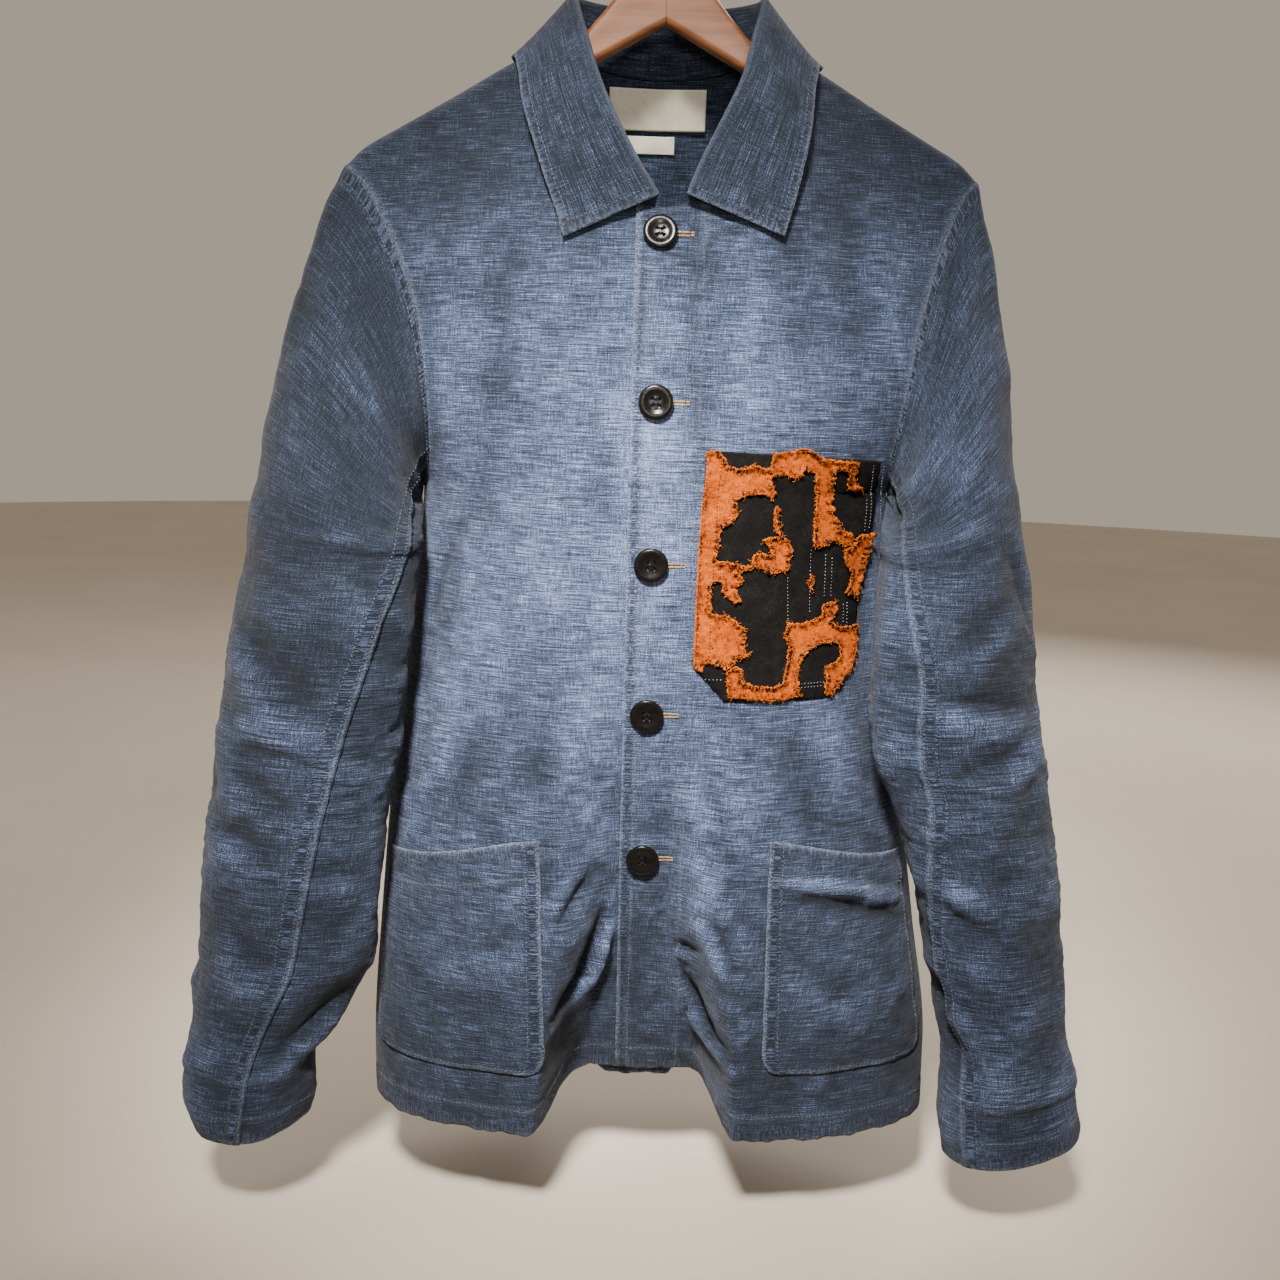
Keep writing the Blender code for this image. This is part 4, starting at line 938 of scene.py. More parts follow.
def panel_place(t, v, side, near, columns, neck_columns, neck_depth, lean, hem):
    """(x, drop) on a half panel, t from its middle edge to the side and v from hem to top."""
    down = 1.0 - v
    last = len(columns) - 1
    neck_share = neck_columns / last
    on_neck = t < neck_share
    along = np.clip(t / neck_share, 0.0, 1.0)
    turn = neck_turn(along, near, FRONT_NECK_CROWD if lean else 1.0)
    shoulder_x = mix(NECK_HALF, SHOULDER_HALF, (t - neck_share) / (1 - neck_share))
    top_x = np.where(on_neck, NECK_HALF * np.sin(turn), shoulder_x)
    top = np.where(on_neck, NECK_TOP + neck_depth * np.cos(turn), shoulder_drop(shoulder_x))
    spread = np.where(on_neck, along, (1 - t) / (1 - neck_share))
    body_share = np.interp(t, np.arange(last + 1) / last, columns)
    top_share = (top_x + near) / (SHOULDER_HALF + near)
    side_drop = SHOULDER_DROP + panel_rows(down, FRONT_LENGTH - SHOULDER_DROP)
    fade = ease((side_drop - SHOULDER_DROP) / 0.24)
    share = mix(top_share, body_share, fade)
    even = 0.15 * (1 - ease(along)) if lean else 0.0
    fall = mix(panel_rows(down, FRONT_LENGTH - top), (FRONT_LENGTH - top) * down, even)
    edge = side_width(np.full(np.shape(t), float(side)), side_drop)
    side_way = mix(-near, edge, share)
    side_way = side_way + lean * spread * (1 - np.exp(-fall / 0.030)) * (1 - fade)
    table = RECESS_LEFT if side > 0 else RECESS_RIGHT
    recess = through(table, side_drop) if lean else BACK_RECESS
    start, width = swing_span(side_drop, recess)
    swing_end = SWING_START + SWING[0][1]
    inner = mix(-near, start, (side_way + near) / (SWING_START + near))
    middle = start + (side_way - SWING_START) * width / SWING[0][1]
    outer = mix(start + width, edge, (side_way - swing_end) / (edge - swing_end))
    side_way = np.where(side_way < SWING_START, inner, np.where(side_way < swing_end, middle, outer))
    x = side * side_way
    return x, top + fall * (hem(x) - top) / (FRONT_LENGTH - top)


def worn_lines(*lines):
    """How pale the cloth is rubbed: (gap, width, strength) of each edge or seam."""
    worn = 0.0
    for gap, width, strength in lines:
        worn = np.maximum(worn, strength * bell(gap, width))
    return worn


# Materials


class Recipe:
    """A material's nodes, added and joined one at a time."""

    def __init__(self, name):
        self.material = bpy.data.materials.new(name)
        self.material.use_nodes = True
        self.tree = self.material.node_tree
        self.shader = self.tree.nodes["Principled BSDF"]

    def put(self, socket, value):
        if isinstance(value, bpy.types.NodeSocket):
            self.tree.links.new(value, socket)
        else:
            socket.default_value = value

    def node(self, kind, inputs=(), out=0, **settings):
        made = self.tree.nodes.new(kind)
        for key, value in settings.items():
            setattr(made, key, value)
        for key, value in dict(inputs).items():
            self.put(made.inputs[key], value)
        return made.outputs[out]

    def place(self, source, scale, shift=(0.0, 0.0, 0.0), turn=0.0):
        """The UV map or the object's own places, scaled, shifted and turned."""
        coordinates = self.node("ShaderNodeTexCoord", out=source)
        return self.node("ShaderNodeMapping", {"Vector": coordinates, "Location": shift,
                                               "Rotation": (0.0, 0.0, turn), "Scale": scale})

    def noise(self, vector, scale=1.0, detail=2.0, roughness=0.5, bend=0.0):
        return self.node("ShaderNodeTexNoise", {"Vector": vector, "Scale": scale, "Detail": detail,
                                                "Roughness": roughness, "Distortion": bend})

    def maths(self, operation, first, second=0.0, clamp=False):
        return self.node("ShaderNodeMath", {0: first, 1: second}, operation=operation, use_clamp=clamp)

    def total(self, *values):
        """The values added up, one after another."""
        whole = values[0]
        for value in values[1:]:
            whole = self.maths("ADD", whole, value)
        return whole

    def spread(self, value, low, high, to_low=0.0, to_high=1.0):
        return self.node("ShaderNodeMapRange", {"Value": value, "From Min": low, "From Max": high,
                                                "To Min": to_low, "To Max": to_high})

    def fact(self, name):
        return self.node("ShaderNodeAttribute", out=2, attribute_name=name)

    def ramp(self, value, stops):
        made = self.tree.nodes.new("ShaderNodeValToRGB")
        self.put(made.inputs[0], value)
        points = made.color_ramp.elements
        while len(points) < len(stops):
            points.new(0.5)
        for point, (place, colour) in zip(points, stops):
            point.position = place
            point.color = (*colour, 1.0)
        return made.outputs[0]

    def blend(self, share, first, second, how="MIX"):
        made = self.tree.nodes.new("ShaderNodeMix")
        made.data_type = "RGBA"
        made.blend_type = how
        self.put(made.inputs[0], share)
        self.put(made.inputs[6], first)
        self.put(made.inputs[7], second)
        return made.outputs[2]

    def bump(self, height, distance, strength=1.0, under=None):
        inputs = {"Height": height, "Distance": distance, "Strength": strength}
        if under is not None:
            inputs["Normal"] = under
        return self.node("ShaderNodeBump", inputs)

    def finish(self, **values):
        for name, value in values.items():
            self.put(self.shader.inputs[name.replace("_", " ")], value)
        return self.material


def linear(colour):
    """A screen colour, 0 to 255, as light."""
    return tuple((c / 255 / 12.92 if c < 10.3 else ((c / 255 + 0.055) / 1.055) ** 2.4) for c in colour)


def indigo_cloth(settings):
    """Washed indigo linen and cotton: dark slubs across, pale rubbed threads, mottled fade, with painted
    light and painted shade from the piece's attributes.
    """
    r = Recipe("Indigo cloth")
    slub = r.noise(r.place(2, (50, 1250, 1)), 1.0, 3.0, 0.62, 0.15)
    heavy = r.noise(r.place(2, (22, 950, 1), (7, 3, 0)), 1.0, 2.0, 0.55)
    upright = r.noise(r.place(2, (1150, 90, 1), (3, 9, 0)), 1.0, 2.0, 0.6)
    fleck = r.noise(r.place(2, (1900, 1650, 1), (5, 5, 0)), 1.0, 1.0, 0.5)
    wash_and_painted_light = r.noise(r.place(2, (11, 9, 1), (1, 5, 0)), 1.0, 3.0, 0.55, 0.6)
    cloud = r.noise(r.place(2, (52, 40, 1), (4, 2, 0)), 1.0, 5.0, 0.62, 0.4)
    # The last two terms are painted: the shade attribute darkens creases as painted shade and lightens
    # their ridges, partly as wear and partly as painted highlight; the other attribute is painted light,
    # paler down the middle of the chest and darker at the shoulders, sleeves, collar and hem.
    tone = r.total(r.spread(slub, 0.32, 0.68, -0.36, 0.25), r.spread(heavy, 0.26, 0.40, -0.48, 0.04),
                   r.spread(upright, 0.32, 0.68, -0.17, 0.12), r.spread(fleck, 0.30, 0.70, -0.36, 0.36),
                   r.spread(wash_and_painted_light, 0.32, 0.68, -0.06, 0.06), r.spread(cloud, 0.32, 0.68, -0.075, 0.075),
                   r.maths("MULTIPLY", r.fact("shade"), 0.18), r.maths("ADD", r.fact("wash_and_painted_light"), 0.475))
    colour = r.ramp(tone, [(0.0, settings.indigo_dark), (0.42, settings.indigo),
                           (0.76, settings.indigo_pale), (1.0, settings.indigo_rubbed)])
    # Beside sewn seams the band attribute paints the pucker hollows dark, as painted shade, and the
    # crests paler, partly as wear and partly as painted highlight.
    along = r.node("ShaderNodeCombineXYZ", {"X": r.maths("MULTIPLY", r.fact("run"), 950.0),
                                            "Y": r.maths("MULTIPLY", r.fact("band"), 2.6)})
    gather = r.spread(r.noise(along, 1.0, 1.0, 0.5), 0.45, 0.60)
    band = r.fact("band")
    hollow = r.maths("MULTIPLY", band, r.maths("SUBTRACT", 1.0, gather))
    colour = r.blend(r.maths("MULTIPLY", hollow, 0.85, clamp=True), colour,
                     (*settings.indigo_dark, 1.0))
    colour = r.blend(r.maths("MULTIPLY", r.maths("MULTIPLY", band, gather), 0.26, clamp=True), colour,
                     (*settings.indigo_pale, 1.0))
    rub = r.spread(r.noise(r.place(2, (620, 620, 1)), 1.0, 3.0, 0.7), 0.38, 0.60, 0.0, 1.0)
    worn = r.maths("MULTIPLY", r.fact("worn"), rub)
    colour = r.blend(r.maths("MULTIPLY", worn, 0.5, clamp=True), colour, (*settings.worn_thread, 1.0))
    threads = r.maths("ADD", slub, r.maths("ADD", fleck, upright))
    fine = r.bump(threads, 0.00040, 0.9)
    soft = r.bump(cloud, 0.0020, 0.6, fine)
    puckered = r.bump(r.maths("MULTIPLY", band, gather), 0.0012, 0.8, soft)
    r.finish(Base_Color=colour, Roughness=0.9, Normal=puckered)
    r.finish(Sheen_Weight=0.08, Sheen_Roughness=0.5, Specular_IOR_Level=0.18)
    return r.material


def woven_cloth(name, dark, middle, pale, ribs, sheen, shine):
    """A plain weave of one colour, with uneven dye and the nap of use."""
    r = Recipe(name)
    across = r.noise(r.place(2, (260, ribs, 1)), 1.0, 2.0, 0.6)
    down = r.noise(r.place(2, (ribs, 260, 1), (5, 1, 0)), 1.0, 2.0, 0.6)
    cloud = r.noise(r.place(2, (70, 70, 1), (2, 8, 0)), 1.0, 4.0, 0.6)
    tone = r.maths("ADD", r.spread(across, 0.3, 0.7, -0.22, 0.22),
                   r.spread(down, 0.3, 0.7, -0.22, 0.22))
    tone = r.maths("ADD", tone, r.spread(cloud, 0.3, 0.7, -0.22, 0.22))
    tone = r.maths("ADD", tone, r.maths("MULTIPLY", r.fact("shade"), 0.25))
    colour = r.ramp(r.maths("ADD", tone, 0.5), [(0.0, dark), (0.5, middle), (1.0, pale)])
    colour = r.blend(r.maths("MULTIPLY", r.fact("worn"), 0.6, clamp=True), colour, (*pale, 1.0))
    fine = r.bump(r.maths("ADD", across, down), 0.0003, 0.8)
    r.finish(Base_Color=colour, Roughness=0.85, Normal=r.bump(cloud, 0.001, 0.4, fine))
    r.finish(Sheen_Weight=sheen, Sheen_Roughness=0.45, Specular_IOR_Level=shine)
    return r.material


def thread_stuff(name, dark, pale):
    r = Recipe(name)
    fleck = r.noise(r.place(3, (900, 900, 900)), 1.0, 2.0, 0.6)
    colour = r.ramp(fleck, [(0.35, dark), (0.65, pale)])
    r.finish(Base_Color=colour, Roughness=0.85, Normal=r.bump(fleck, 0.0001, 0.6))
    r.finish(Specular_IOR_Level=0.08)
    return r.material


def button_horn(settings):
    r = Recipe("Dark button")
    vein = r.noise(r.place(3, (90, 90, 160)), 1.0, 4.0, 0.6, 1.2)
    colour = r.ramp(vein, [(0.35, settings.button_dark), (0.75, settings.button_brown)])
    scuff = r.spread(r.noise(r.place(3, (420, 420, 420)), 1.0, 3.0, 0.6), 0.35, 0.75, 0.20, 0.36)
    r.finish(Base_Color=colour, Roughness=scuff, Normal=r.bump(vein, 0.0001, 0.15))
    r.finish(Specular_IOR_Level=0.22)
    return r.material


def hanger_wood(settings):
    r = Recipe("Hanger wood")
    long_way = r.place(3, (5, 70, 70))
    rings = r.noise(long_way, 1.0, 3.0, 0.55, 0.8)
    pores = r.noise(r.place(3, (40, 900, 900)), 1.0, 3.0, 0.7)
    tone = r.maths("ADD", r.spread(rings, 0.32, 0.68, 0.0, 0.8), r.spread(pores, 0.35, 0.65, 0.0, 0.2))
    colour = r.ramp(tone, [(0.1, settings.wood_dark), (0.9, settings.wood_pale)])
    gloss = r.spread(pores, 0.3, 0.7, 0.34, 0.52)
    places = r.node("ShaderNodeSeparateXYZ", {"Vector": r.node("ShaderNodeTexCoord", out=3)})
    joint = r.spread(r.maths("ABSOLUTE", places), 0.0002, 0.0006, 0.75, 0.0)
    colour = r.blend(joint, colour, (0.02, 0.01, 0.006, 1.0))
    r.finish(Base_Color=colour, Roughness=gloss, Normal=r.bump(tone, 0.00015, 0.4))
    r.finish(Coat_Weight=0.15, Coat_Roughness=0.25)
    return r.material


def hook_steel():
    r = Recipe("Hook steel")
    drawn = r.noise(r.place(3, (300, 300, 60)), 1.0, 3.0, 0.6)
    colour = r.ramp(drawn, [(0.3, (0.42, 0.41, 0.40)), (0.7, (0.66, 0.65, 0.63))])
    r.finish(Base_Color=colour, Roughness=r.spread(drawn, 0.3, 0.7, 0.18, 0.34), Metallic=1.0)
    return r.material


def label_weave(settings):
    r = Recipe("Woven label")
    ribs = r.noise(r.place(2, (300, 2600, 1)), 1.0, 2.0, 0.6)
    soil = r.noise(r.place(2, (60, 60, 1), (3, 3, 0)), 1.0, 4.0, 0.6)
    tone = r.maths("ADD", r.spread(ribs, 0.3, 0.7, 0.0, 0.5), r.spread(soil, 0.3, 0.7, 0.0, 0.5))
    colour = r.ramp(tone, [(0.0, settings.label_dark), (1.0, settings.label_pale)])
    r.finish(Base_Color=colour, Roughness=0.55, Normal=r.bump(ribs, 0.0002, 0.6))
    r.finish(Sheen_Weight=0.2, Sheen_Roughness=0.3)
    return r.material


# Colours that the panel has no setting for
THREADS = {
    "blue thread": ("Faded thread", (0.05, 0.065, 0.10), (0.16, 0.185, 0.23)),
    "white thread": ("White thread", (0.15, 0.145, 0.135), (0.34, 0.33, 0.31)),
    "dark thread": ("Dark thread", (0.004, 0.004, 0.005), (0.012, 0.011, 0.011)),
    "tan thread": ("Tan thread", (0.22, 0.12, 0.05), (0.50, 0.32, 0.16)),
}
BLACKS = ((0.0025, 0.0023, 0.0022), (0.0055, 0.0050, 0.0048), (0.015, 0.014, 0.013))
COLOURED = {"indigo": indigo_cloth, "horn": button_horn, "wood": hanger_wood, "label": label_weave}


@functools.cache
def stuff(kind):
    """A material, made the first time that a piece asks for it."""
    colours = bpy.context.scene.jacket_colours
    if kind in THREADS:
        return thread_stuff(*THREADS[kind])
    if kind == "orange thread":
        return thread_stuff("Orange thread", colours.orange_dark, colours.orange_pale)
    if kind == "black":
        return woven_cloth("Black cloth", *BLACKS, 1500, 0.0, 0.08)
    if kind == "orange":
        return woven_cloth("Orange cloth", colours.orange_dark, colours.orange, colours.orange_pale,
                           1300, 0.03, 0.12)
    if kind == "steel":
        return hook_steel()
    return COLOURED[kind](colours)


# Pieces of cloth


def front_painted_light(x, drop):
    """Painted light: the fronts are painted paler down the middle of the chest and darker at the
    shoulders and towards the hem, as a pool of light falling off.
    """
    chest = bell(np.hypot(x, (drop - 0.34) * 0.72), 0.17)
    shoulder = 1 - ease((drop - 0.03) / 0.19)
    low = 0.05 * ease((drop - 0.55) / 0.12) + 0.09 * ease((drop - 0.67) / 0.05)
    return 0.30 * chest - 0.15 - 0.23 * shoulder - low


def front_facts(x, drop, left):
    side_gap = side_width(x, drop) - np.abs(x)
    hem_gap = front_hem(x) - drop
    top_gap = drop - shoulder_drop(x)
    lines = [(hem_gap, 0.0016, 1.0), (hem_gap - HEM_STITCH, 0.0016, 0.20), (side_gap, 0.0026, 0.7),
             (top_gap, 0.003, 0.2)]
    if left:
        lines += [(x + OVERLAP, 0.0013, 1.0), (x - FACING_LINE, 0.0012, 0.4),
                  (x + OVERLAP - FRONT_STITCH, 0.0012, 0.35)]
    height = front_relief(x, drop)
    sides = 0.6 * bell(side_gap, 0.005)
    if left:
        sides = np.maximum(sides, 0.9 * bell(x + OVERLAP - 0.004, 0.004))
        sides = np.maximum(sides, 0.5 * bell(x - FACING_LINE, 0.003))
    hems = 0.8 * bell(hem_gap - 0.004, 0.006)
    hems = np.maximum(hems, 0.5 * bell(hem_gap - HEM_STITCH, 0.003))
    # The fronts carry their painted light as an attribute: paler down the chest, darker at the shoulders
    # and hem.
    return {"worn": worn_lines(*lines), "shade": np.clip(height / 0.0026, -2.2, 1),
            "band": np.maximum(sides, hems), "run": np.where(hems > sides, x, drop),
            "wash_and_painted_light": front_painted_light(x, drop)}


def hem_wave(x, seed):
    """How a washed hem wanders up and down."""
    return 0.0007 * np.sin(210 * x + seed) + 0.0004 * np.sin(530 * x + 2 * seed) - 0.0006


def make_front(side):
    left = side > 0
    skin = left_skin if left else right_skin

    def place(t, v):
        x, drop = panel_place(t, v, side, OVERLAP, FRONT_COLUMNS, FRONT_NECK_COLUMNS, FRONT_NECK,
                              FRONT_LEAN, front_hem)
        drop = drop + hem_wave(x, side) * ease((drop - 0.70) / 0.03)
        uv = np.stack([arc_across(front_form, x, drop) + (0 if left else 2.0), 1.0 - drop], axis=-1)
        return skin(x, drop), uv, front_facts(x, drop, left)

    word = SIDE_WORD[side]
    return cloth_piece(f"{word}_front", 104, 270, place, not left, [f"front_{word}"])


def make_back_panel():
    def place(u, v):
        sign = np.where(u >= 0.5, 1.0, -1.0)
        half = {}
        for side in (1, -1):
            half[side] = panel_place(np.abs(u - 0.5) * 2, v, side, 0.0, BACK_COLUMNS,
                                     BACK_NECK_COLUMNS, BACK_NECK, 0.0, back_hem)
        x = np.where(sign > 0, half[1][0], half[-1][0])
        drop = np.where(sign > 0, half[1][1], half[-1][1])
        drop = drop + hem_wave(x, 3) * ease((drop - 0.72) / 0.03)
        hem_gap = back_hem(x) - drop
        side_gap = side_width(x, drop) - np.abs(x)
        height = back_relief(x, drop)
        # The back is painted with half of the fronts' pool of light, and painted a little darker overall.
        facts = {"worn": worn_lines((hem_gap, 0.0016, 1.0), (hem_gap - HEM_STITCH, 0.0016, 0.20),
                                    (side_gap, 0.003, 0.7)),
                 "shade": np.clip(height / 0.0050, -1, 1), "run": x,
                 "band": 0.8 * bell(hem_gap - 0.004, 0.006),
                  "wash_and_painted_light": 0.5 * front_painted_light(x * 0.8, drop) - 0.06}
        uv = np.stack([arc_across(back_form, x, drop) + 4.0, 1.0 - drop], axis=-1)
        return back_skin(x, drop), uv, facts

    return cloth_piece("back_panel", 150, 240, place, True, ["back"])


def sleeve_painted_shade(side, drop):
    """Painted shade: the sleeves are painted darker than the chest; the wearer's right sleeve is painted
    darker again, most of all above the elbow, and both are a little lighter round the elbow.
    """
    # kept: how much darker the wearer's right sleeve is painted
    kept = 0.05 + 0.11 * (1 - ease((drop - 0.36) / 0.18)) if side < 0 else 0.01
    return -0.18 - kept + 0.05 * bell(drop - 0.50, 0.10)


def make_sleeve(side, under):
    stations, _ = sleeve_parts(side)
    head_rows = 84
    arm_rows = 150
    reach = 0.012 if not under else 0.0
    low = -0.9995

    def place(u, v):
        q = mix(-reach, 1 + reach, u)
        row = (1.0 - v) * (head_rows + arm_rows)
        s = np.where(row < head_rows, mix(low, 0.0, row / head_rows), (row - head_rows) / arm_rows)
        _, turn, _ = sleeve_turns(side, under, q, s)
        drop = sleeve_drop(s, side)
        head = (1 + s) * HEAD_LENGTH
        cuff = stations[-1][0] - drop
        share = UNDER_SHARE if under else TOP_SHARE
        front_gap = (q if under else 1 - q) * SLEEVE_ROUND * share
        back_gap = (1 - q if under else q) * SLEEVE_ROUND * share
        lines = [(head, 0.0018, 0.6), (cuff, 0.0016, 1.0), (cuff - CUFF_STITCH, 0.0016, 0.20),
                 (back_gap, 0.002, 0.5)]
        lines += [(front_gap, 0.0013, 0.5 if not under else 0.0)]
        sides = bell(front_gap - 0.0055, 0.0055) * (0.3 if under else 1.0)
        ends = np.maximum(bell(head - 0.0065, 0.0065), 0.8 * bell(cuff - 0.004, 0.006))
        height = sleeve_relief(side, under, q, s)
        # The sleeves carry painted shade as an attribute: darker than the chest.
        facts = {"worn": worn_lines(*lines), "shade": np.clip(height / 0.0030, -1, 1),
                 "band": np.maximum(sides, ends), "wash_and_painted_light": sleeve_painted_shade(side, drop),
                 "run": np.where(ends > sides, turn * SLEEVE_ROUND, drop)}
        uv = np.stack([turn * SLEEVE_ROUND + 6.0 + side, 1.0 - drop], axis=-1)
        return sleeve_skin(side, under, q, s), uv, facts

    word = SIDE_WORD[side]
    kind = "under" if under else "top"
    return cloth_piece(f"{word}_{kind}_sleeve", 42 if under else 88, head_rows + arm_rows, place,
                       side > 0, [f"{kind}_sleeve_{word}"])


@functools.cache
def collar_grid():
    """The collar's points: along it from right end to left, and across it from seam to edge."""
    sections = np.array([collar_section(float(s)) for s in np.linspace(-1, 1, COLLAR_STATIONS)])
    fine = finer(sections, COLLAR_ALONG + 1)
    return np.swapaxes(finer(np.swapaxes(fine, 0, 1), COLLAR_ACROSS + 1), 0, 1)


def collar_skin(u, v, lift=0.0):
    """A point on the collar, u along it and v across it, 0 to 1, from a fine grid."""
    points = collar_grid()
    i = np.clip(u * (points.shape[0] - 1), 0, points.shape[0] - 1.001)
    j = np.clip(v * (points.shape[1] - 1), 0, points.shape[1] - 1.001)
    i0, j0 = i.astype(int), j.astype(int)
    fi, fj = (i - i0)[..., None], (j - j0)[..., None]
    low = mix(points[i0, j0], points[i0 + 1, j0], fi)
    high = mix(points[i0, j0 + 1], points[i0 + 1, j0 + 1], fi)
    along = mix(points[i0 + 1, j0] - points[i0, j0], points[i0 + 1, j0 + 1] - points[i0, j0 + 1], fj)
    across = mix(points[i0, j0 + 1] - points[i0, j0], points[i0 + 1, j0 + 1] - points[i0 + 1, j0], fi)
    out = unit(np.cross(along, across))
    leaf = ease((v - 0.55) / 0.2)
    run = u * COLLAR_RUN
    height = leaf * (rumple(run, v * 0.11, 41, 0.03, 0.09, 0.0005)
                     + rumple(run, v * 0.11, 42, 0.01, 0.03, 0.0002, sharp=0.4))
    return mix(low, high, fj) + out * (height + lift)[..., None]


def collar_gaps(u, v):
    """Distance from the collar's long edge and from its two ends, in metres."""
    points = collar_grid()
    run_across = running(points, 1)
    run_along = running(points, 0)
    i = np.clip(np.rint(u * (points.shape[0] - 1)).astype(int), 0, points.shape[0] - 1)
    j = np.clip(np.rint(v * (points.shape[1] - 1)).astype(int), 0, points.shape[1] - 1)
    edge = (run_across[i, -1] - run_across[i, j])
    ends = np.minimum(run_along[i, j], run_along[-1, j] - run_along[i, j])
    return edge, ends


def make_collar_piece():
    def place(u, v):
        edge, ends = collar_gaps(u, v)
        near = np.minimum(edge, ends)
        fold = bell(v - 0.42, 0.05)
        beyond = near - COLLAR_STITCH
        groove = -0.00035 * bell(beyond, 0.0011) + 0.0003 * (1 - ease(beyond / 0.002))
        puckers = pucker(u * COLLAR_RUN, near, 0.009, 0.007, 0.00022, 7.0)
        points = collar_skin(u, v, (groove + puckers) * ease((v - 0.5) / 0.1))
        # The collar is painted darker all over than the chest: painted shade.
        facts = {"worn": worn_lines((near, 0.0015, 0.9)) * (v > 0.4) + 0.2 * fold,
                 "band": 0.7 * bell(near - 0.003, 0.004) * (v > 0.4),
                 "run": np.where(edge < ends, u * COLLAR_RUN, v * COLLAR_DEPTH), "wash_and_painted_light": -0.27 + 0 * u}
        uv = np.stack([u * COLLAR_RUN + 9.0, v * COLLAR_DEPTH], axis=-1)
        return points, uv, facts

    return cloth_piece("collar_cloth", COLLAR_ALONG, COLLAR_ACROSS, place, False, ["collar"],
                       wall=COLLAR_WALL)


def pocket_spot(side, p, down):
    """(x, drop) and belly of a lower pocket, p across from its inner edge and down from its top."""
    cut = POCKET_LEFT if side > 0 else POCKET_RIGHT
    drop = mix(mix(*cut["top"], p * p), cut["bottom"], down)
    drop = drop + POCKET_DROOP[side] * np.sin(np.pi * np.clip(p, 0, 1) ** 1.3) * (1 - ease(down / 0.8))
    left_over = cut["bottom"] - drop
    short = np.clip(POCKET_CORNER - left_over, 0.0, POCKET_CORNER)
    inset = POCKET_CORNER - np.sqrt(POCKET_CORNER**2 - short**2)
    near = mix(*cut["inner"], down) + inset * 0.8
    far = mix(*cut["outer"], down) - inset * 0.5
    belly = POCKET_BELLY * (1 - ease(down / 0.55)) * np.sin(np.pi * np.clip(p, 0, 1))
    return side * mix(near, far, p), drop, belly


def pocket_edge(p, down):
    """How far a place is from the nearest sewn edge of a lower pocket."""
    return np.minimum(np.minimum(p, 1 - p) * POCKET_WIDE, (1 - down) * POCKET_TALL)


def pocket_skin(side, p, down, lift=0.0):
    x, drop, belly = pocket_spot(side, p, down)
    edge = pocket_edge(p, down)
    settle_down = mix(0.0017, CLOTH + LAYER_GAP, ease(edge / 0.012))
    crease = creased(POCKET_CREASES, x, drop) * ease(edge / 0.012)
    crease = crease + rumple(x, drop, 51, 0.012, 0.04, 0.0004, sharp=0.4)
    hem = hem_relief(down * POCKET_TALL, POCKET_HEM)
    band = pucker(drop, p * POCKET_WIDE - 0.005, 0.0085, 0.006, 0.0003, 8.0)
    folded = np.where(crease < 0, crease * 0.3, crease * 1.7)
    return front_skin(x, drop, settle_down + belly + folded + hem + band + lift)


def make_lower_pocket(side):
    def place(p, v):
        p = mix(p, ease(p), 0.3)
        down = 1 - v
        x, drop, _ = pocket_spot(side, p, down)
        edge = pocket_edge(p, down)
        fall = down * POCKET_TALL
        lines = [(edge, 0.0018, 0.95), (fall, 0.0020, 1.0), (fall - POCKET_HEM, 0.0014, 0.35)]
        sides = np.maximum(bell(p * POCKET_WIDE - 0.0055, 0.0055),
                           0.6 * bell((1 - p) * POCKET_WIDE, 0.004))
        ends = np.maximum(0.7 * bell(fall - 0.003, 0.005),
                          0.6 * bell((1 - down) * POCKET_TALL, 0.004))
        creases = creased(POCKET_CREASES, x, drop)
        # The pockets take the fronts' painted light, painted a little darker.
        facts = {"worn": worn_lines(*lines), "shade": np.clip(creases / 0.0014, -2.4, 1),
                 "band": np.maximum(sides, ends), "run": np.where(ends > sides, x, drop),
                 "wash_and_painted_light": front_painted_light(x, drop) - 0.05}
        uv = np.stack([arc_across(front_form, x, drop) + 11.0, 1.0 - drop], axis=-1)
        return pocket_skin(side, p, down), uv, facts

    word = SIDE_WORD[side]
    return cloth_piece(f"{word}_lower_pocket", 60, 84, place, side < 0, [f"pocket_{word}"])


# Chest pocket and its torn patches

# Outline of the pocket in the patches' drawing: (height, place) down its left and right edges
SHEET_LEFT = [(105, 135), (1265, 65), (1462, 241)]
SHEET_RIGHT = [(185, 1105), (1290, 965), (1460, 850)]
SHEET_TOP = 105
SHEET_FALL = 80
SHEET_FOOT = 1462
DRAWN_METRE = 8000
# Left of the first and below the second the patches' edges are sewn flat
SEWN_LEFT = 140
SEWN_FOOT = 1430
TORN_SEED = 81
FRAY_SPACING = 8
# The share that curled edges add is a guess; the others are the least that a sheet may state
CURL_ROOM = 1.1
LEAST_SIDE = 0.010
LEAST_FILL = 0.31

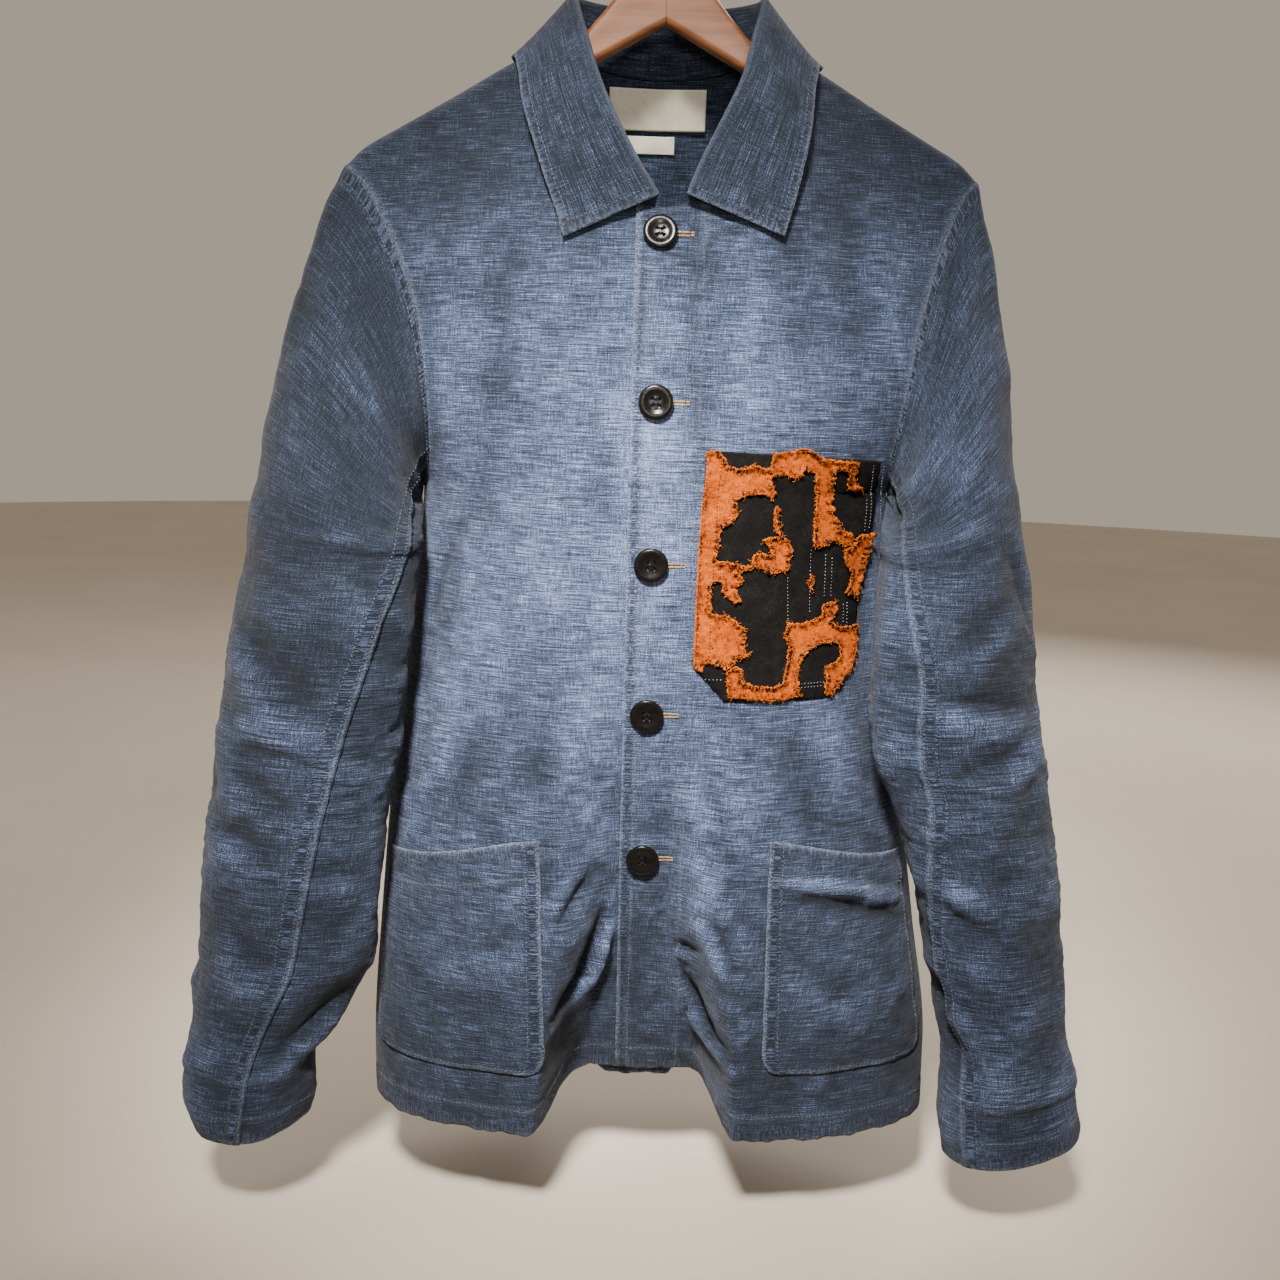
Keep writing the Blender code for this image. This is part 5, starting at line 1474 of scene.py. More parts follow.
TORN_CLOTH = {
    "left_strip": [
        (135, 110), (195, 105), (228, 150), (250, 185), (300, 205), (340, 200), (380, 185),
        (430, 205), (470, 205), (500, 240), (470, 265), (490, 310), (500, 345), (480, 372),
        (455, 362), (440, 345), (380, 345), (330, 355), (300, 372), (290, 400), (300, 440),
        (285, 475), (250, 505), (215, 520), (205, 560), (200, 620), (190, 660), (188, 695),
        (270, 705), (330, 722), (378, 722), (385, 742), (330, 750), (312, 770), (330, 815),
        (290, 840), (300, 880), (320, 912), (280, 918), (240, 890), (215, 860), (225, 820),
        (195, 800), (168, 810), (160, 860), (160, 920), (165, 975), (200, 985), (240, 990),
        (285, 1010), (310, 1045), (345, 1070), (350, 1110), (335, 1150), (345, 1195), (365, 1200),
        (340, 1225), (300, 1225), (280, 1260), (250, 1285), (215, 1265), (175, 1250), (130, 1255),
        (125, 1300), (95, 1290), (68, 1262), (72, 1120), (78, 900), (88, 650), (107, 400),
        (127, 250)],
    "top_strip": [
        (490, 125), (600, 118), (640, 105), (700, 118), (745, 150), (790, 168), (860, 172),
        (955, 180), (950, 235), (935, 250), (945, 300), (985, 320), (940, 335), (905, 320),
        (900, 275), (905, 230), (825, 230), (822, 300), (815, 360), (805, 420), (830, 470),
        (855, 510), (870, 560), (930, 580), (945, 610), (930, 650), (885, 655), (870, 625),
        (820, 610), (795, 640), (740, 650), (708, 630), (712, 560), (715, 480), (715, 400),
        (720, 320), (715, 240), (690, 228), (650, 222), (640, 255), (600, 262), (550, 245),
        (500, 250), (470, 225), (475, 180)],
    "middle": [
        (370, 700), (385, 665), (420, 658), (450, 668), (480, 672), (475, 640), (430, 590),
        (450, 580), (500, 572), (540, 575), (575, 600), (590, 650), (585, 700), (580, 750),
        (560, 765), (500, 770), (470, 775), (440, 745), (400, 740)],
    "loop": [
        (490, 430), (510, 412), (528, 430), (512, 455), (508, 500), (528, 545), (518, 575),
        (498, 520)],
    "bit": [
        (706, 794), (724, 822), (718, 852), (706, 876), (690, 848), (688, 815)],
    "right_scrap": [
        (960, 600), (1060, 590), (1048, 650), (1030, 800), (1006, 930), (985, 940), (940, 915),
        (905, 905), (925, 880), (945, 830), (940, 790), (905, 750), (890, 710), (900, 670),
        (940, 655), (965, 630)],
    "bottom_strip": [
        (250, 1290), (300, 1265), (335, 1290), (340, 1355), (400, 1375), (500, 1385), (550, 1365),
        (565, 1300), (570, 1230), (580, 1180), (555, 1110), (570, 1040), (640, 1050), (720, 1035),
        (765, 1015), (770, 960), (820, 945), (855, 960), (840, 1010), (830, 1060), (870, 1085),
        (985, 1085), (978, 1160), (962, 1285), (900, 1370), (855, 1440), (835, 1455), (800, 1440),
        (790, 1400), (800, 1350), (790, 1290), (840, 1275), (870, 1240), (860, 1180), (820, 1160),
        (770, 1165), (720, 1180), (670, 1215), (650, 1260), (638, 1320), (635, 1385), (650, 1440),
        (560, 1462), (450, 1458), (330, 1445), (262, 1440)],
}
# White rows on the black cloth: (place, from height, to height), then (height, from, to)
WHITE_COLUMNS = [(1030, 195, 570), (1092, 200, 565), (1004, 400, 580), (700, 650, 1010),
                 (785, 680, 930), (822, 700, 930), (575, 790, 1030), (940, 950, 1085),
                 (918, 960, 1075)]
WHITE_LINES = [(1395, 650, 790), (1375, 650, 800), (1340, 130, 250)]
# Dark rows along the patches' flat edges
SEWN_LINES = [[(132, 150), (110, 450), (88, 900), (82, 1240)],
              [(215, 150), (192, 400), (165, 900), (152, 1240)],
              [(72, 1256), (150, 1338), (246, 1428)],
              [(262, 1436), (400, 1448), (560, 1452), (640, 1432)],
              [(955, 1290), (895, 1370), (842, 1445)],
              [(1050, 600), (1018, 850), (996, 930)],
              [(975, 1090), (966, 1160), (950, 1280)]]
TORN_NODES = {
    "left_strip": ["patch_left_strip"], "top_strip": ["patch_top_strip"], "middle": ["patch_middle"],
    "right_scrap": ["patch_right_scrap"], "bottom_strip": ["patch_lower_left", "patch_lower_right"],
}


def sheet_share(place_x, place_y):
    """The patches' drawing as shares across the pocket and down it."""
    left = straight(SHEET_LEFT, place_y)
    right = straight(SHEET_RIGHT, place_y)
    p = (place_x - left) / (right - left)
    top = SHEET_TOP + SHEET_FALL * p
    return p, (place_y - top) / (SHEET_FOOT - top)


def chest_skin(p, down, lift=0.0):
    """A point on the chest pocket: p across from its inner edge, down from its top, 0 to 1."""
    drop = mix(CHEST_TOP, CHEST_BOTTOM, down)
    x = mix(straight(CHEST_INNER, drop), straight(CHEST_OUTER, drop), p)
    puff = CHEST_PUFF * ease((p - 0.35) / 0.65) * ease((0.6 - down) / 0.4)
    wrinkle = rumple(x, drop, 61, 0.010, 0.035, 0.00030, sharp=0.3)
    wrinkle = wrinkle + 0.00025 * np.sin(2 * np.pi * drop / 0.0056 + 3 * np.sin(70 * x)) * bell(p, 0.14)
    return front_skin(x, drop + 0.005 * p * (1 - down), lift + puff + overlap_lift(x) + wrinkle)


def make_pocket_base():
    def place(p, v):
        down = 1 - v
        edge = np.minimum(np.minimum(p, 1 - p) * 0.115, np.minimum(down, 1 - down) * 0.168)
        rest = mix(0.0013, TRIM_REST + 0.0008, ease(edge / 0.010))
        points = chest_skin(p, down, rest)
        drop = mix(CHEST_TOP, CHEST_BOTTOM, down)
        ragged = rumple(p * 0.12, drop, 62, 0.004, 0.010, 0.0004) * bell(edge, 0.001)
        points[:, 0] += ragged
        points[:, 2] += ragged
        uv = np.stack([p * 0.12, 1 - drop], axis=-1)
        return points, uv, {"worn": 0.5 * bell(edge, 0.0008)}

    return cloth_piece("black_pocket", 72, 100, place, False, ["chest_pocket"], "black",
                       POCKET_WALL)


def torn_flat(name):
    """Width, length and area of a torn piece laid flat, raised to the least that may be stated."""
    drawn = np.array(TORN_CLOTH[name], dtype=float)
    p, down = sheet_share(drawn[:, 0], drawn[:, 1])
    drop = mix(CHEST_TOP, CHEST_BOTTOM, down)
    x = mix(straight(CHEST_INNER, drop), straight(CHEST_OUTER, drop), p)
    across = arc_across(front_form, x, drop)
    area = CURL_ROOM * abs(np.sum(across * np.roll(drop, -1) - drop * np.roll(across, -1))) / 2
    width = max(float(np.ptp(across)), LEAST_SIDE)
    length = max(float(np.ptp(drop)), LEAST_SIDE)
    area = min(max(float(area), LEAST_FILL * width * length), width * length)
    return (round(width, 3), round(length, 3)), round(area, 6)


def sides_of(outline):
    """The sides of a closed outline, each as its two ends."""
    return zip(outline, outline[1:] + outline[:1])


def torn_outline(outline, seed):
    """The outline with points every few threads, pulled about as torn cloth is."""
    pick = random.Random(seed)
    points = []
    for (ax, ay), (bx, by) in sides_of(outline):
        length = math.hypot(bx - ax, by - ay)
        count = max(int(length / 8), 1)
        sewn = max(ax, bx) < SEWN_LEFT or min(ay, by) > SEWN_FOOT
        for i in range(count):
            share = i / count
            pull = pick.uniform(-1, 1) * (1.2 if sewn else 5.5)
            points.append((ax + (bx - ax) * share - (by - ay) / length * pull,
                           ay + (by - ay) * share + (bx - ax) / length * pull))
    return points


def inside(point, outline):
    x, y = point
    hit = False
    for (ax, ay), (bx, by) in sides_of(outline):
        if (ay > y) != (by > y) and x < (bx - ax) * (y - ay) / (by - ay) + ax:
            hit = not hit
    return hit


def torn_lift(place_x, place_y, gap, seed):
    """How far torn cloth curls off the pocket near its edges."""
    curl = 0.5 + 0.5 * rumple(place_x / DRAWN_METRE, place_y / DRAWN_METRE, seed, 0.004, 0.012, 1.0)
    sewn = (place_x < 150) | (place_y > 1420)
    near = bell(gap, 14.0) * np.where(sewn, 0.1, 1.0)
    wave = rumple(place_x / DRAWN_METRE, place_y / DRAWN_METRE, seed + 7, 0.003, 0.010, 0.0005)
    return 0.0013 + wave * 0.7 + 0.0031 * near * np.clip(curl, 0, 1.4)


def patch_height(x, y):
    """How high the pocket's layers stand at drawn places: torn cloth, or the bare black cloth."""
    height = np.full(np.shape(x), TRIM_REST + 0.0014)
    for seed, outline in enumerate(TORN_CLOTH.values(), TORN_SEED):
        within = np.array([inside(point, outline) for point in zip(x, y)])
        gap = edge_gap(np.stack([x, y], axis=-1), outline)
        height = np.where(within, TRIM_REST + torn_lift(x, y, gap, seed), height)
    return height + 0.0005


def edge_gap(points, outline):
    """Distance of each drawn point from the outline."""
    best = np.full(len(points), np.inf)
    for a, b in sides_of(outline):
        signed, _ = from_line([a, b], points[:, 0], points[:, 1])
        best = np.minimum(best, np.abs(signed))
    return best


def make_torn_patch(name, seed):
    outline = torn_outline(TORN_CLOTH[name], seed)
    step = 11
    xs = [p[0] for p in outline]
    ys = [p[1] for p in outline]
    inner = []
    for row, y in enumerate(np.arange(min(ys), max(ys), step)):
        for x in np.arange(min(xs) + (step / 2) * (row % 2), max(xs), step):
            if inside((x, y), outline):
                inner.append((x, y))
    inner = np.array(inner)
    inner = inner[edge_gap(inner, outline) > 5.0]
    flat = [Vector(p) for p in outline] + [Vector(p) for p in inner]
    loop = [(i, (i + 1) % len(outline)) for i in range(len(outline))]
    verts, _, faces, _, _, _ = delaunay_2d_cdt(flat, loop, [], 0, 0.01)
    drawn = np.array([tuple(v) for v in verts])
    keep = []
    for face in faces:
        middle = drawn[list(face)].mean(axis=0)
        if inside(middle, outline):
            keep.append(tuple(reversed(face)))
    gap = edge_gap(drawn, outline)
    p, down = sheet_share(drawn[:, 0], drawn[:, 1])
    lift = TRIM_REST + torn_lift(drawn[:, 0], drawn[:, 1], gap, seed)
    points = chest_skin(p, down, lift)
    mesh = bpy.data.meshes.new(name)
    mesh.from_pydata(points.tolist(), [], keep)
    shape = bmesh.new()
    shape.from_mesh(mesh)
    loose = [v for v in shape.verts if not v.link_faces]
    bmesh.ops.delete(shape, geom=loose, context="VERTS")
    out = Vector((0, -1, 0))
    if sum(f.normal.dot(out) for f in shape.faces) < 0:
        bmesh.ops.reverse_faces(shape, faces=shape.faces)
    kept = [v.index for v in shape.verts]
    shape.to_mesh(mesh)
    shape.free()
    co = np.empty(len(mesh.vertices) * 3)
    mesh.vertices.foreach_get("co", co)
    co = co.reshape(-1, 3)
    give_uv(mesh, np.stack([co[:, 0] + 0.3, co[:, 2]], axis=-1))
    gap = gap[kept]
    fold = rumple(co[:, 0], co[:, 2], seed + 3, 0.003, 0.009, 1.0)
    shade = -2.0 * bell(gap - 14.0, 15.0) * np.clip(0.45 + fold, 0, 1.3) - 0.6 * np.clip(fold, 0, 1)
    give_attributes(mesh, {"worn": 0.5 * bell(gap, 4.0), "shade": shade})
    mesh.shade_smooth()
    obj = settle("torn_" + name, mesh, "orange", TORN_NODES.get(name, ()))
    return thicken(obj, TRIM_WALL)


def make_fray(longest):
    """Short loose threads along torn edges, each a curled line on the pocket."""
    pick = random.Random(91)
    starts = []
    for outline in TORN_CLOTH.values():
        for (ax, ay), (bx, by) in sides_of(outline):
            length = math.hypot(bx - ax, by - ay)
            for _ in range(max(int(length / FRAY_SPACING), 1 if pick.random() < 0.5 else 0)):
                if max(ax, bx) < SEWN_LEFT:
                    continue
                share = pick.random()
                way = math.atan2(bx - ax, -(by - ay)) + pick.uniform(-1.2, 1.2)
                starts.append((ax + (bx - ax) * share, ay + (by - ay) * share, way))
    paths = []
    for x, y, way in starts:
        length = pick.uniform(0.25, 1.0) * longest
        bend = pick.uniform(-0.9, 0.9)
        path = []
        rise = pick.uniform(0.0004, 0.0018)
        for i in range(7):
            t = i / 6
            path.append((x, y, 0.0034 + rise * math.sin(2.6 * t)))
            x += math.cos(way) * length / 6
            y += math.sin(way) * length / 6
            way += bend
        paths.append(path)
    flat = np.array(paths).reshape(-1, 3)
    p, down = sheet_share(flat[:, 0], flat[:, 1])
    p = np.clip(p, -0.02, 1.02)
    down = np.clip(down, -0.02, 1.01)
    curve = round_line("orange_fray", 0.00021, 0)
    for path in chest_skin(p, down, flat[:, 2]).reshape(-1, 7, 3):
        add_run(curve, path)
    settle("orange_fray", curve, "orange thread")


# Sewing


def sew(skin, a, b, pitch, lift, first=0.5):
    """Places along a path on a skin, with the way of the path and the way out of the skin."""
    line = skin(a, b, lift)
    up = unit(skin(a, b, lift + 0.0008) - line)
    run = np.concatenate([[0.0], np.cumsum(np.linalg.norm(np.diff(line, axis=0), axis=1))])
    at = np.arange(first, max(run[-1] / pitch - 0.4, first + 1)) * pitch
    place = np.stack([np.interp(at, run, line[:, i]) for i in range(3)], axis=-1)
    ahead = np.stack([np.interp(at + pitch * 0.35, run, line[:, i]) for i in range(3)], axis=-1)
    behind = np.stack([np.interp(at - pitch * 0.35, run, line[:, i]) for i in range(3)], axis=-1)
    out = np.stack([np.interp(at, run, up[:, i]) for i in range(3)], axis=-1)
    return place, unit(ahead - behind), unit(out)


def stitch_piece(name, rows, length, radius, kind):
    """Every stitch of the rows as one joined piece of small rounded threads."""
    seed = bmesh.new()
    bmesh.ops.create_icosphere(seed, subdivisions=1, radius=1.0)
    shape = np.array([tuple(v.co) for v in seed.verts]) * np.array([length / 2, radius * 1.15, radius])
    faces = np.array([[v.index for v in f.verts] for f in seed.faces])
    seed.free()
    place = np.concatenate([row[0] for row in rows])
    ahead = np.concatenate([row[1] for row in rows])
    out = np.concatenate([row[2] for row in rows])
    aside = unit(np.cross(out, ahead))
    out = np.cross(ahead, aside)
    points = (place[:, None] + ahead[:, None] * shape[None, :, 0:1] + aside[:, None] * shape[None, :, 1:2]
              + out[:, None] * shape[None, :, 2:3])
    count = len(place)
    all_faces = (faces[None] + (np.arange(count) * len(shape))[:, None, None]).reshape(-1, 3)
    mesh = bpy.data.meshes.new(name)
    mesh.from_pydata(points.reshape(-1, 3).tolist(), [], all_faces.tolist())
    mesh.shade_smooth()
    settle(name, mesh, kind)


def run_of(start, end, step=0.002):
    count = max(int(abs(end - start) / step), 2)
    return np.linspace(start, end, count)


def jacket_rows():
    """Every row of pale sewing on the indigo cloth."""
    lift = 0.0010
    rows = []

    def on(skin, a, b, pitch=0.0031):
        a, b = np.broadcast_arrays(np.asarray(a, float), np.asarray(b, float))
        rows.append(sew(skin, a.copy(), b.copy(), pitch, lift))

    edge = run_of(0.128, 0.722)
    on(left_skin, -OVERLAP + FRONT_STITCH, edge)
    on(left_skin, FACING_LINE, run_of(0.140, 0.722))
    x = run_of(-OVERLAP + 0.004, 0.205)
    on(left_skin, x, front_hem(x) - HEM_STITCH)
    x = run_of(-0.188, -0.020)
    on(right_skin, x, front_hem(x) - HEM_STITCH)
    x = run_of(-0.190, 0.205)
    on(back_skin, x, back_hem(x) - HEM_STITCH)
    for side in (1, -1):
        def top(q, s, away=0.0, side=side):
            return sleeve_skin(side, False, q, s, away)

        def below(q, s, away=0.0, side=side):
            return sleeve_skin(side, True, q, s, away)

        round_size = SLEEVE_ROUND * TOP_SHARE
        arm = run_of(-0.97, 0.99, 0.004)
        for gap in TWIN_ROWS:
            on(top, 1 - gap / round_size, arm)
            q = run_of(0.004, 0.996, 0.008)
            on(top, q, -1 + gap / HEAD_LENGTH + 0 * q)
        stations, _ = sleeve_parts(side)
        cuff = 1 - CUFF_STITCH / (stations[-1][0] - SLEEVE_TOP_DROP)
        q = run_of(0.004, 0.996, 0.008)
        on(top, q, cuff + 0 * q)
        on(below, q, cuff + 0 * q)

        def pocket(p, down, away=0.0, side=side):
            return pocket_skin(side, p, down, away)

        p = run_of(0.02, 0.98, 0.012)
        on(pocket, p, POCKET_HEM / POCKET_TALL + 0 * p)
        down = run_of(0.01, 0.93, 0.01)
        for gap in TWIN_ROWS:
            on(pocket, gap / POCKET_WIDE, down)
        on(pocket, 1 - 0.0024 / POCKET_WIDE, down)
        p = run_of(0.06, 0.94, 0.012)
        on(pocket, p, 1 - 0.0030 / POCKET_TALL + 0 * p)
    u = run_of(0.014, 0.986, 0.003)
    v = []
    run_across = running(collar_grid(), 1)
    for value in u:
        across = run_across[int(round(value * (len(run_across) - 1)))]
        v.append(np.interp(across[-1] - COLLAR_STITCH, across, np.linspace(0, 1, len(across))))
    on(collar_skin, u, np.array(v))
    for u in (0.0142, 1 - 0.0142):
        on(collar_skin, u, run_of(0.52, 0.935, 0.01))
    return rows


def drawn_row(x, y, pitch):
    """A row of stitches through drawn places, lying on the pocket's uppermost layer."""
    p, down = sheet_share(x, y)
    return sew(chest_skin, p, down, pitch, patch_height(x, y))


def pocket_rows():
    """The faint white rows on the black pocket."""
    rows = []
    for x, top, bottom in WHITE_COLUMNS:
        y = np.linspace(top, bottom, 60)
        lean = -(y - 600) * 0.05 if x > 900 else 0 * y
        rows.append(drawn_row(x + lean, y, 0.0023))
    for y, left, right in WHITE_LINES:
        x = np.linspace(left, right, 30)
        rows.append(drawn_row(x, y + 0 * x, 0.0026))
    return rows


def edge_rows():
    """Small dark stitches that hold the patches' flat edges."""
    rows = []
    for line in SEWN_LINES:
        steps = np.linspace(0, len(line) - 1, 80)
        x = np.interp(steps, range(len(line)), [q[0] for q in line])
        y = np.interp(steps, range(len(line)), [q[1] for q in line])
        rows.append(drawn_row(x, y, 0.0024))
    return rows


def mending_rows():
    """Dark stitches here and there across the torn edges."""
    pick = random.Random(97)
    rows = []
    for outline in TORN_CLOTH.values():
        for (ax, ay), (bx, by) in sides_of(outline):
            length = math.hypot(bx - ax, by - ay)
            flat_edge = max(ax, bx) < SEWN_LEFT or min(ay, by) > SEWN_FOOT
            if flat_edge or pick.random() < 0.62:
                continue
            in_x, in_y = -(by - ay) / length, (bx - ax) / length
            if not inside(((ax + bx) / 2 + in_x * 4, (ay + by) / 2 + in_y * 4), outline):
                in_x, in_y = -in_x, -in_y
            for step in range(int(length / 22) + 1):
                share = (step + pick.uniform(0.2, 0.8)) * 22 / max(length, 22)
                slant = pick.uniform(-0.6, 0.6)
                reach = np.linspace(4, 30, 4)
                x = ax + (bx - ax) * share + (in_x - slant * in_y) * reach
                y = ay + (by - ay) * share + (in_y + slant * in_x) * reach
                if not inside((x[-1], y[-1]), outline):
                    continue
                rows.append(drawn_row(x, y, 0.0027))
    return rows


# Buttons, labels, hanger


def on_seat(shape, drop, lift):
    """Move a shape, made flat on its seat, to the front edge at `drop`."""
    x = np.array([0.0])
    d = np.array([drop])
    seat = Vector(left_skin(x, d, np.array([lift]))[0])
    out = Vector(unit(outward(front_form, x, d))[0])
    turn = Vector((0, 0, 1)).rotation_difference(out)
    placed = Matrix.Translation(seat) @ turn.to_matrix().to_4x4()
    bmesh.ops.transform(shape, matrix=placed, verts=shape.verts)


def turned(profile, steps):
    """A round shape: (radius, height) points spun about the upright axis."""
    shape = bmesh.new()
    verts = [shape.verts.new((radius, 0.0, height)) for radius, height in profile]
    edges = [shape.edges.new(pair) for pair in zip(verts, verts[1:])]
    bmesh.ops.spin(shape, geom=verts + edges, cent=(0, 0, 0), axis=(0, 0, 1), angle=2 * math.pi,
                   steps=steps, use_merge=True)
    bmesh.ops.remove_doubles(shape, verts=shape.verts, dist=0.00001)
    bmesh.ops.recalc_face_normals(shape, faces=shape.faces)
    return shape


def helper(name, shape):
    """An object that is only there while another is cut with it."""
    obj = bpy.data.objects.new(name, mesh_of(shape, name))
    bpy.context.scene.collection.objects.link(obj)
    return obj


def turned_button():
    """A button turned with a round rim and a dished middle, with four holes bored in it."""
    blank = helper("button blank", turned(BUTTON_PROFILE, 48))
    drill = bmesh.new()
    for x in (-HOLE_PLACE, HOLE_PLACE):
        for y in (-HOLE_PLACE, HOLE_PLACE):
            made = bmesh.ops.create_cone(drill, cap_ends=True, segments=16, radius1=HOLE_RADIUS,
                                         radius2=HOLE_RADIUS, depth=0.012)
            bmesh.ops.translate(drill, vec=(x, y, 0.002), verts=made["verts"])
    bit = helper("drill", drill)
    bore = blank.modifiers.new("Holes", "BOOLEAN")
    bore.operation = "DIFFERENCE"
    bore.object = bit
    bore.solver = "EXACT"
    bpy.context.view_layer.update()
    graph = bpy.context.evaluated_depsgraph_get()
    bored = bpy.data.meshes.new_from_object(blank.evaluated_get(graph))
    for obj in (blank, bit):
        bpy.data.objects.remove(obj, do_unlink=True)
    return bored


def make_button(number, drop, bored):
    shape = bmesh.new()
    shape.from_mesh(bored)
    on_seat(shape, drop, BUTTON_SEAT)
    name = f"front_button_{number}"
    settle(name, mesh_of(shape, name), "horn", [f"button_{number}"])


def button_thread(number, drop):
    """Two bars of thread through the holes, and the shank below."""
    shape = bmesh.new()
    for y in (-HOLE_PLACE, HOLE_PLACE):
        for k in (-0.00035, 0.00035):
            made = bmesh.ops.create_icosphere(shape, subdivisions=2, radius=1.0)
            bmesh.ops.scale(shape, vec=(0.0023, 0.00040, 0.00034), verts=made["verts"])
            bmesh.ops.translate(shape, vec=(0.0, y + k, 0.0030), verts=made["verts"])
    made = bmesh.ops.create_cone(shape, cap_ends=True, segments=16, radius1=0.0024, radius2=0.0022,
                                 depth=0.0012)
    bmesh.ops.translate(shape, vec=(0.0, 0.0, -0.0004), verts=made["verts"])
    on_seat(shape, drop, BUTTON_SEAT)
    name = f"button_thread_{number}"
    settle(name, mesh_of(shape, name), "dark thread")


def buttonhole_rows(drop):
    """Close stitches on both sides of the slot and a bar at its end."""
    rows = []
    for side in (-1, 1):
        x = np.linspace(BUTTONHOLE[0], BUTTONHOLE[1] - 0.001, 40)
        place, ahead, out = sew(left_skin, x, drop + side * 0.0011 + 0 * x, 0.00062, 0.0009)
        rows.append((place, unit(np.cross(out, ahead)), out))
    for k in range(4):
        y = np.linspace(drop - 0.0019, drop + 0.0019, 10)
        x = BUTTONHOLE[1] - 0.0004 + k * 0.0006 + 0 * y
        place, ahead, out = sew(left_skin, x, y, 0.0019, 0.0010)
        rows.append((place, ahead, out))
    return rows


def label_skin(facts, p, down, lift=0.0):
    centre, top, width, height = facts
    x = centre + width * (p - 0.5)
    drop = top + height * down
    sag = 0.0008 * np.sin(np.pi * p) * np.sin(np.pi * down) + rumple(x, drop, 71, 0.01, 0.04, 0.0002)
    inward = TRIM_REST + 0.0014 + sag + lift
    return back_form(x, drop) + outward(back_form, x, drop) * inward[..., None]


def make_label(name, facts, node):
    def place(p, v):
        down = 1 - v
        points = label_skin(facts, p, down)
        uv = np.stack([p * facts[2], v * facts[3]], axis=-1)
        return points, uv, {}

    return cloth_piece(name, 40, 18, place, False, [node], "label", TRIM_WALL)


def hanger_point(x, turn):
    """A point on the hanger's section at x: a slot shape, round at its top and bottom."""
    share = np.abs(x)
    top = np.where(share < NECK_HALF, through(HANGER_TOP, share), shoulder_drop(share))
    top = top + RIDGE_RADIUS + HANGER_EASE * (1 + 1.5 * bell(share - NECK_HALF, 0.010))
    bottom = np.where(share < 0.05, straight(HANGER_BOTTOM[:1] + HANGER_BOTTOM[2:], share),
                      through(HANGER_BOTTOM, share))
    bottom = np.maximum(bottom - HANGER_RADIUS, top + 0.002)
    tip = np.maximum(1 - share / HANGER_HALF, 0.0)
    round_off = np.minimum(1.0, np.sqrt(1 - (1 - np.minimum(tip / 0.03, 1.0)) ** 2) + 0.10)
    angle = 2 * np.pi * turn
    up = np.sin(angle)
    middle = (top + bottom) / 2
    end = mix(middle, np.where(up >= 0, top, bottom), round_off)
    radius = HANGER_RADIUS * round_off
    return stack(x, radius * np.cos(angle), level(end) + radius * up)


def make_hanger_body():
    shape = bmesh.new()
    bmesh.ops.create_grid(shape, x_segments=150, y_segments=36, size=0.5)
    flat = np.array([tuple(v.co) for v in shape.verts])
    share = 2 * flat[:, 0]
    x = HANGER_HALF * np.copysign(1 - (1 - np.abs(share)) ** 1.2, share)
    points = hanger_point(x, flat[:, 1] + 0.5)
    for vert, point in zip(shape.verts, points):
        vert.co = point
    bmesh.ops.remove_doubles(shape, verts=shape.verts, dist=0.00001)
    for side in (-1, 1):
        ring = [edge for edge in shape.edges if edge.is_boundary and edge.verts[0].co.x * side > 0]
        bmesh.ops.contextual_create(shape, geom=ring)
    bmesh.ops.recalc_face_normals(shape, faces=shape.faces)
    settle("wooden_hanger", mesh_of(shape, "wooden_hanger"), "wood", ["hanger_body"])


def hanger_crown():
    """Height of the hanger's top at its middle, where the hook enters it."""
    return float(hanger_point(np.array([0.0]), np.array([0.25]))[0][2])


def make_hook_wire():
    path_radius = HOOK_INNER + HOOK_WIRE
    centre = -HOOK_INNER
    foot = hanger_crown() - 0.004
    lower = centre - path_radius - 0.004
    points = [(0.0, mix(foot, lower, share / 6)) for share in range(7)]
    points += [(0.0004, lower + 0.0014), (0.0015, lower + 0.0030), (0.0036, lower + 0.0046),
               (0.0060, lower + 0.0062)]
    for degrees in range(-50, 202, 6):
        turn = math.radians(degrees)
        points.append((path_radius * math.cos(turn), centre + path_radius * math.sin(turn)))
    curve = round_line("hook_wire", HOOK_WIRE, 5)
    curve.use_fill_caps = True
    add_run(curve, [(x, 0.0, z) for x, z in points])
    settle("hook_wire", curve, "steel", ["hook"])


def make_ferrule():
    """The small metal collar where the hook enters the wood."""
    shape = turned(FERRULE_PROFILE, 32)
    bmesh.ops.translate(shape, vec=(0, 0, hanger_crown() + 0.0002), verts=shape.verts)
    settle("hook_ferrule", mesh_of(shape, "hook_ferrule"), "steel")


# Stage


def soft_light(name, place, aim, size, power, colour, spread=180.0):
    lamp = bpy.data.lights.new(name, "AREA")
    lamp.shape = "DISK"
    lamp.size = size
    lamp.energy = power
    lamp.color = colour
    lamp.spread = math.radians(spread)
    obj = bpy.data.objects.new(name, lamp)
    way = Vector(aim) - Vector(place)
    obj.matrix_world = Matrix.Translation(place) @ way.to_track_quat("-Z", "Y").to_matrix().to_4x4()
    bpy.context.scene.collection.objects.link(obj)


def make_floor(settings):
    shape = bmesh.new()
    bmesh.ops.create_circle(shape, cap_ends=True, segments=96, radius=6.0)
    bmesh.ops.translate(shape, vec=(0, 0, settings.floor_height), verts=shape.verts)
    mesh = mesh_of(shape, "floor")
    r = Recipe("Floor")
    grain = r.noise(r.place(3, (3, 3, 3)), 1.0, 3.0, 0.5)
    colour = r.ramp(grain, [(0.3, (0.60, 0.52, 0.43)), (0.7, (0.64, 0.56, 0.47))])
    r.finish(Base_Color=colour, Roughness=0.9)
    mesh.materials.append(r.material)
    floor = bpy.data.objects.new("floor", mesh)
    bpy.context.scene.collection.objects.link(floor)


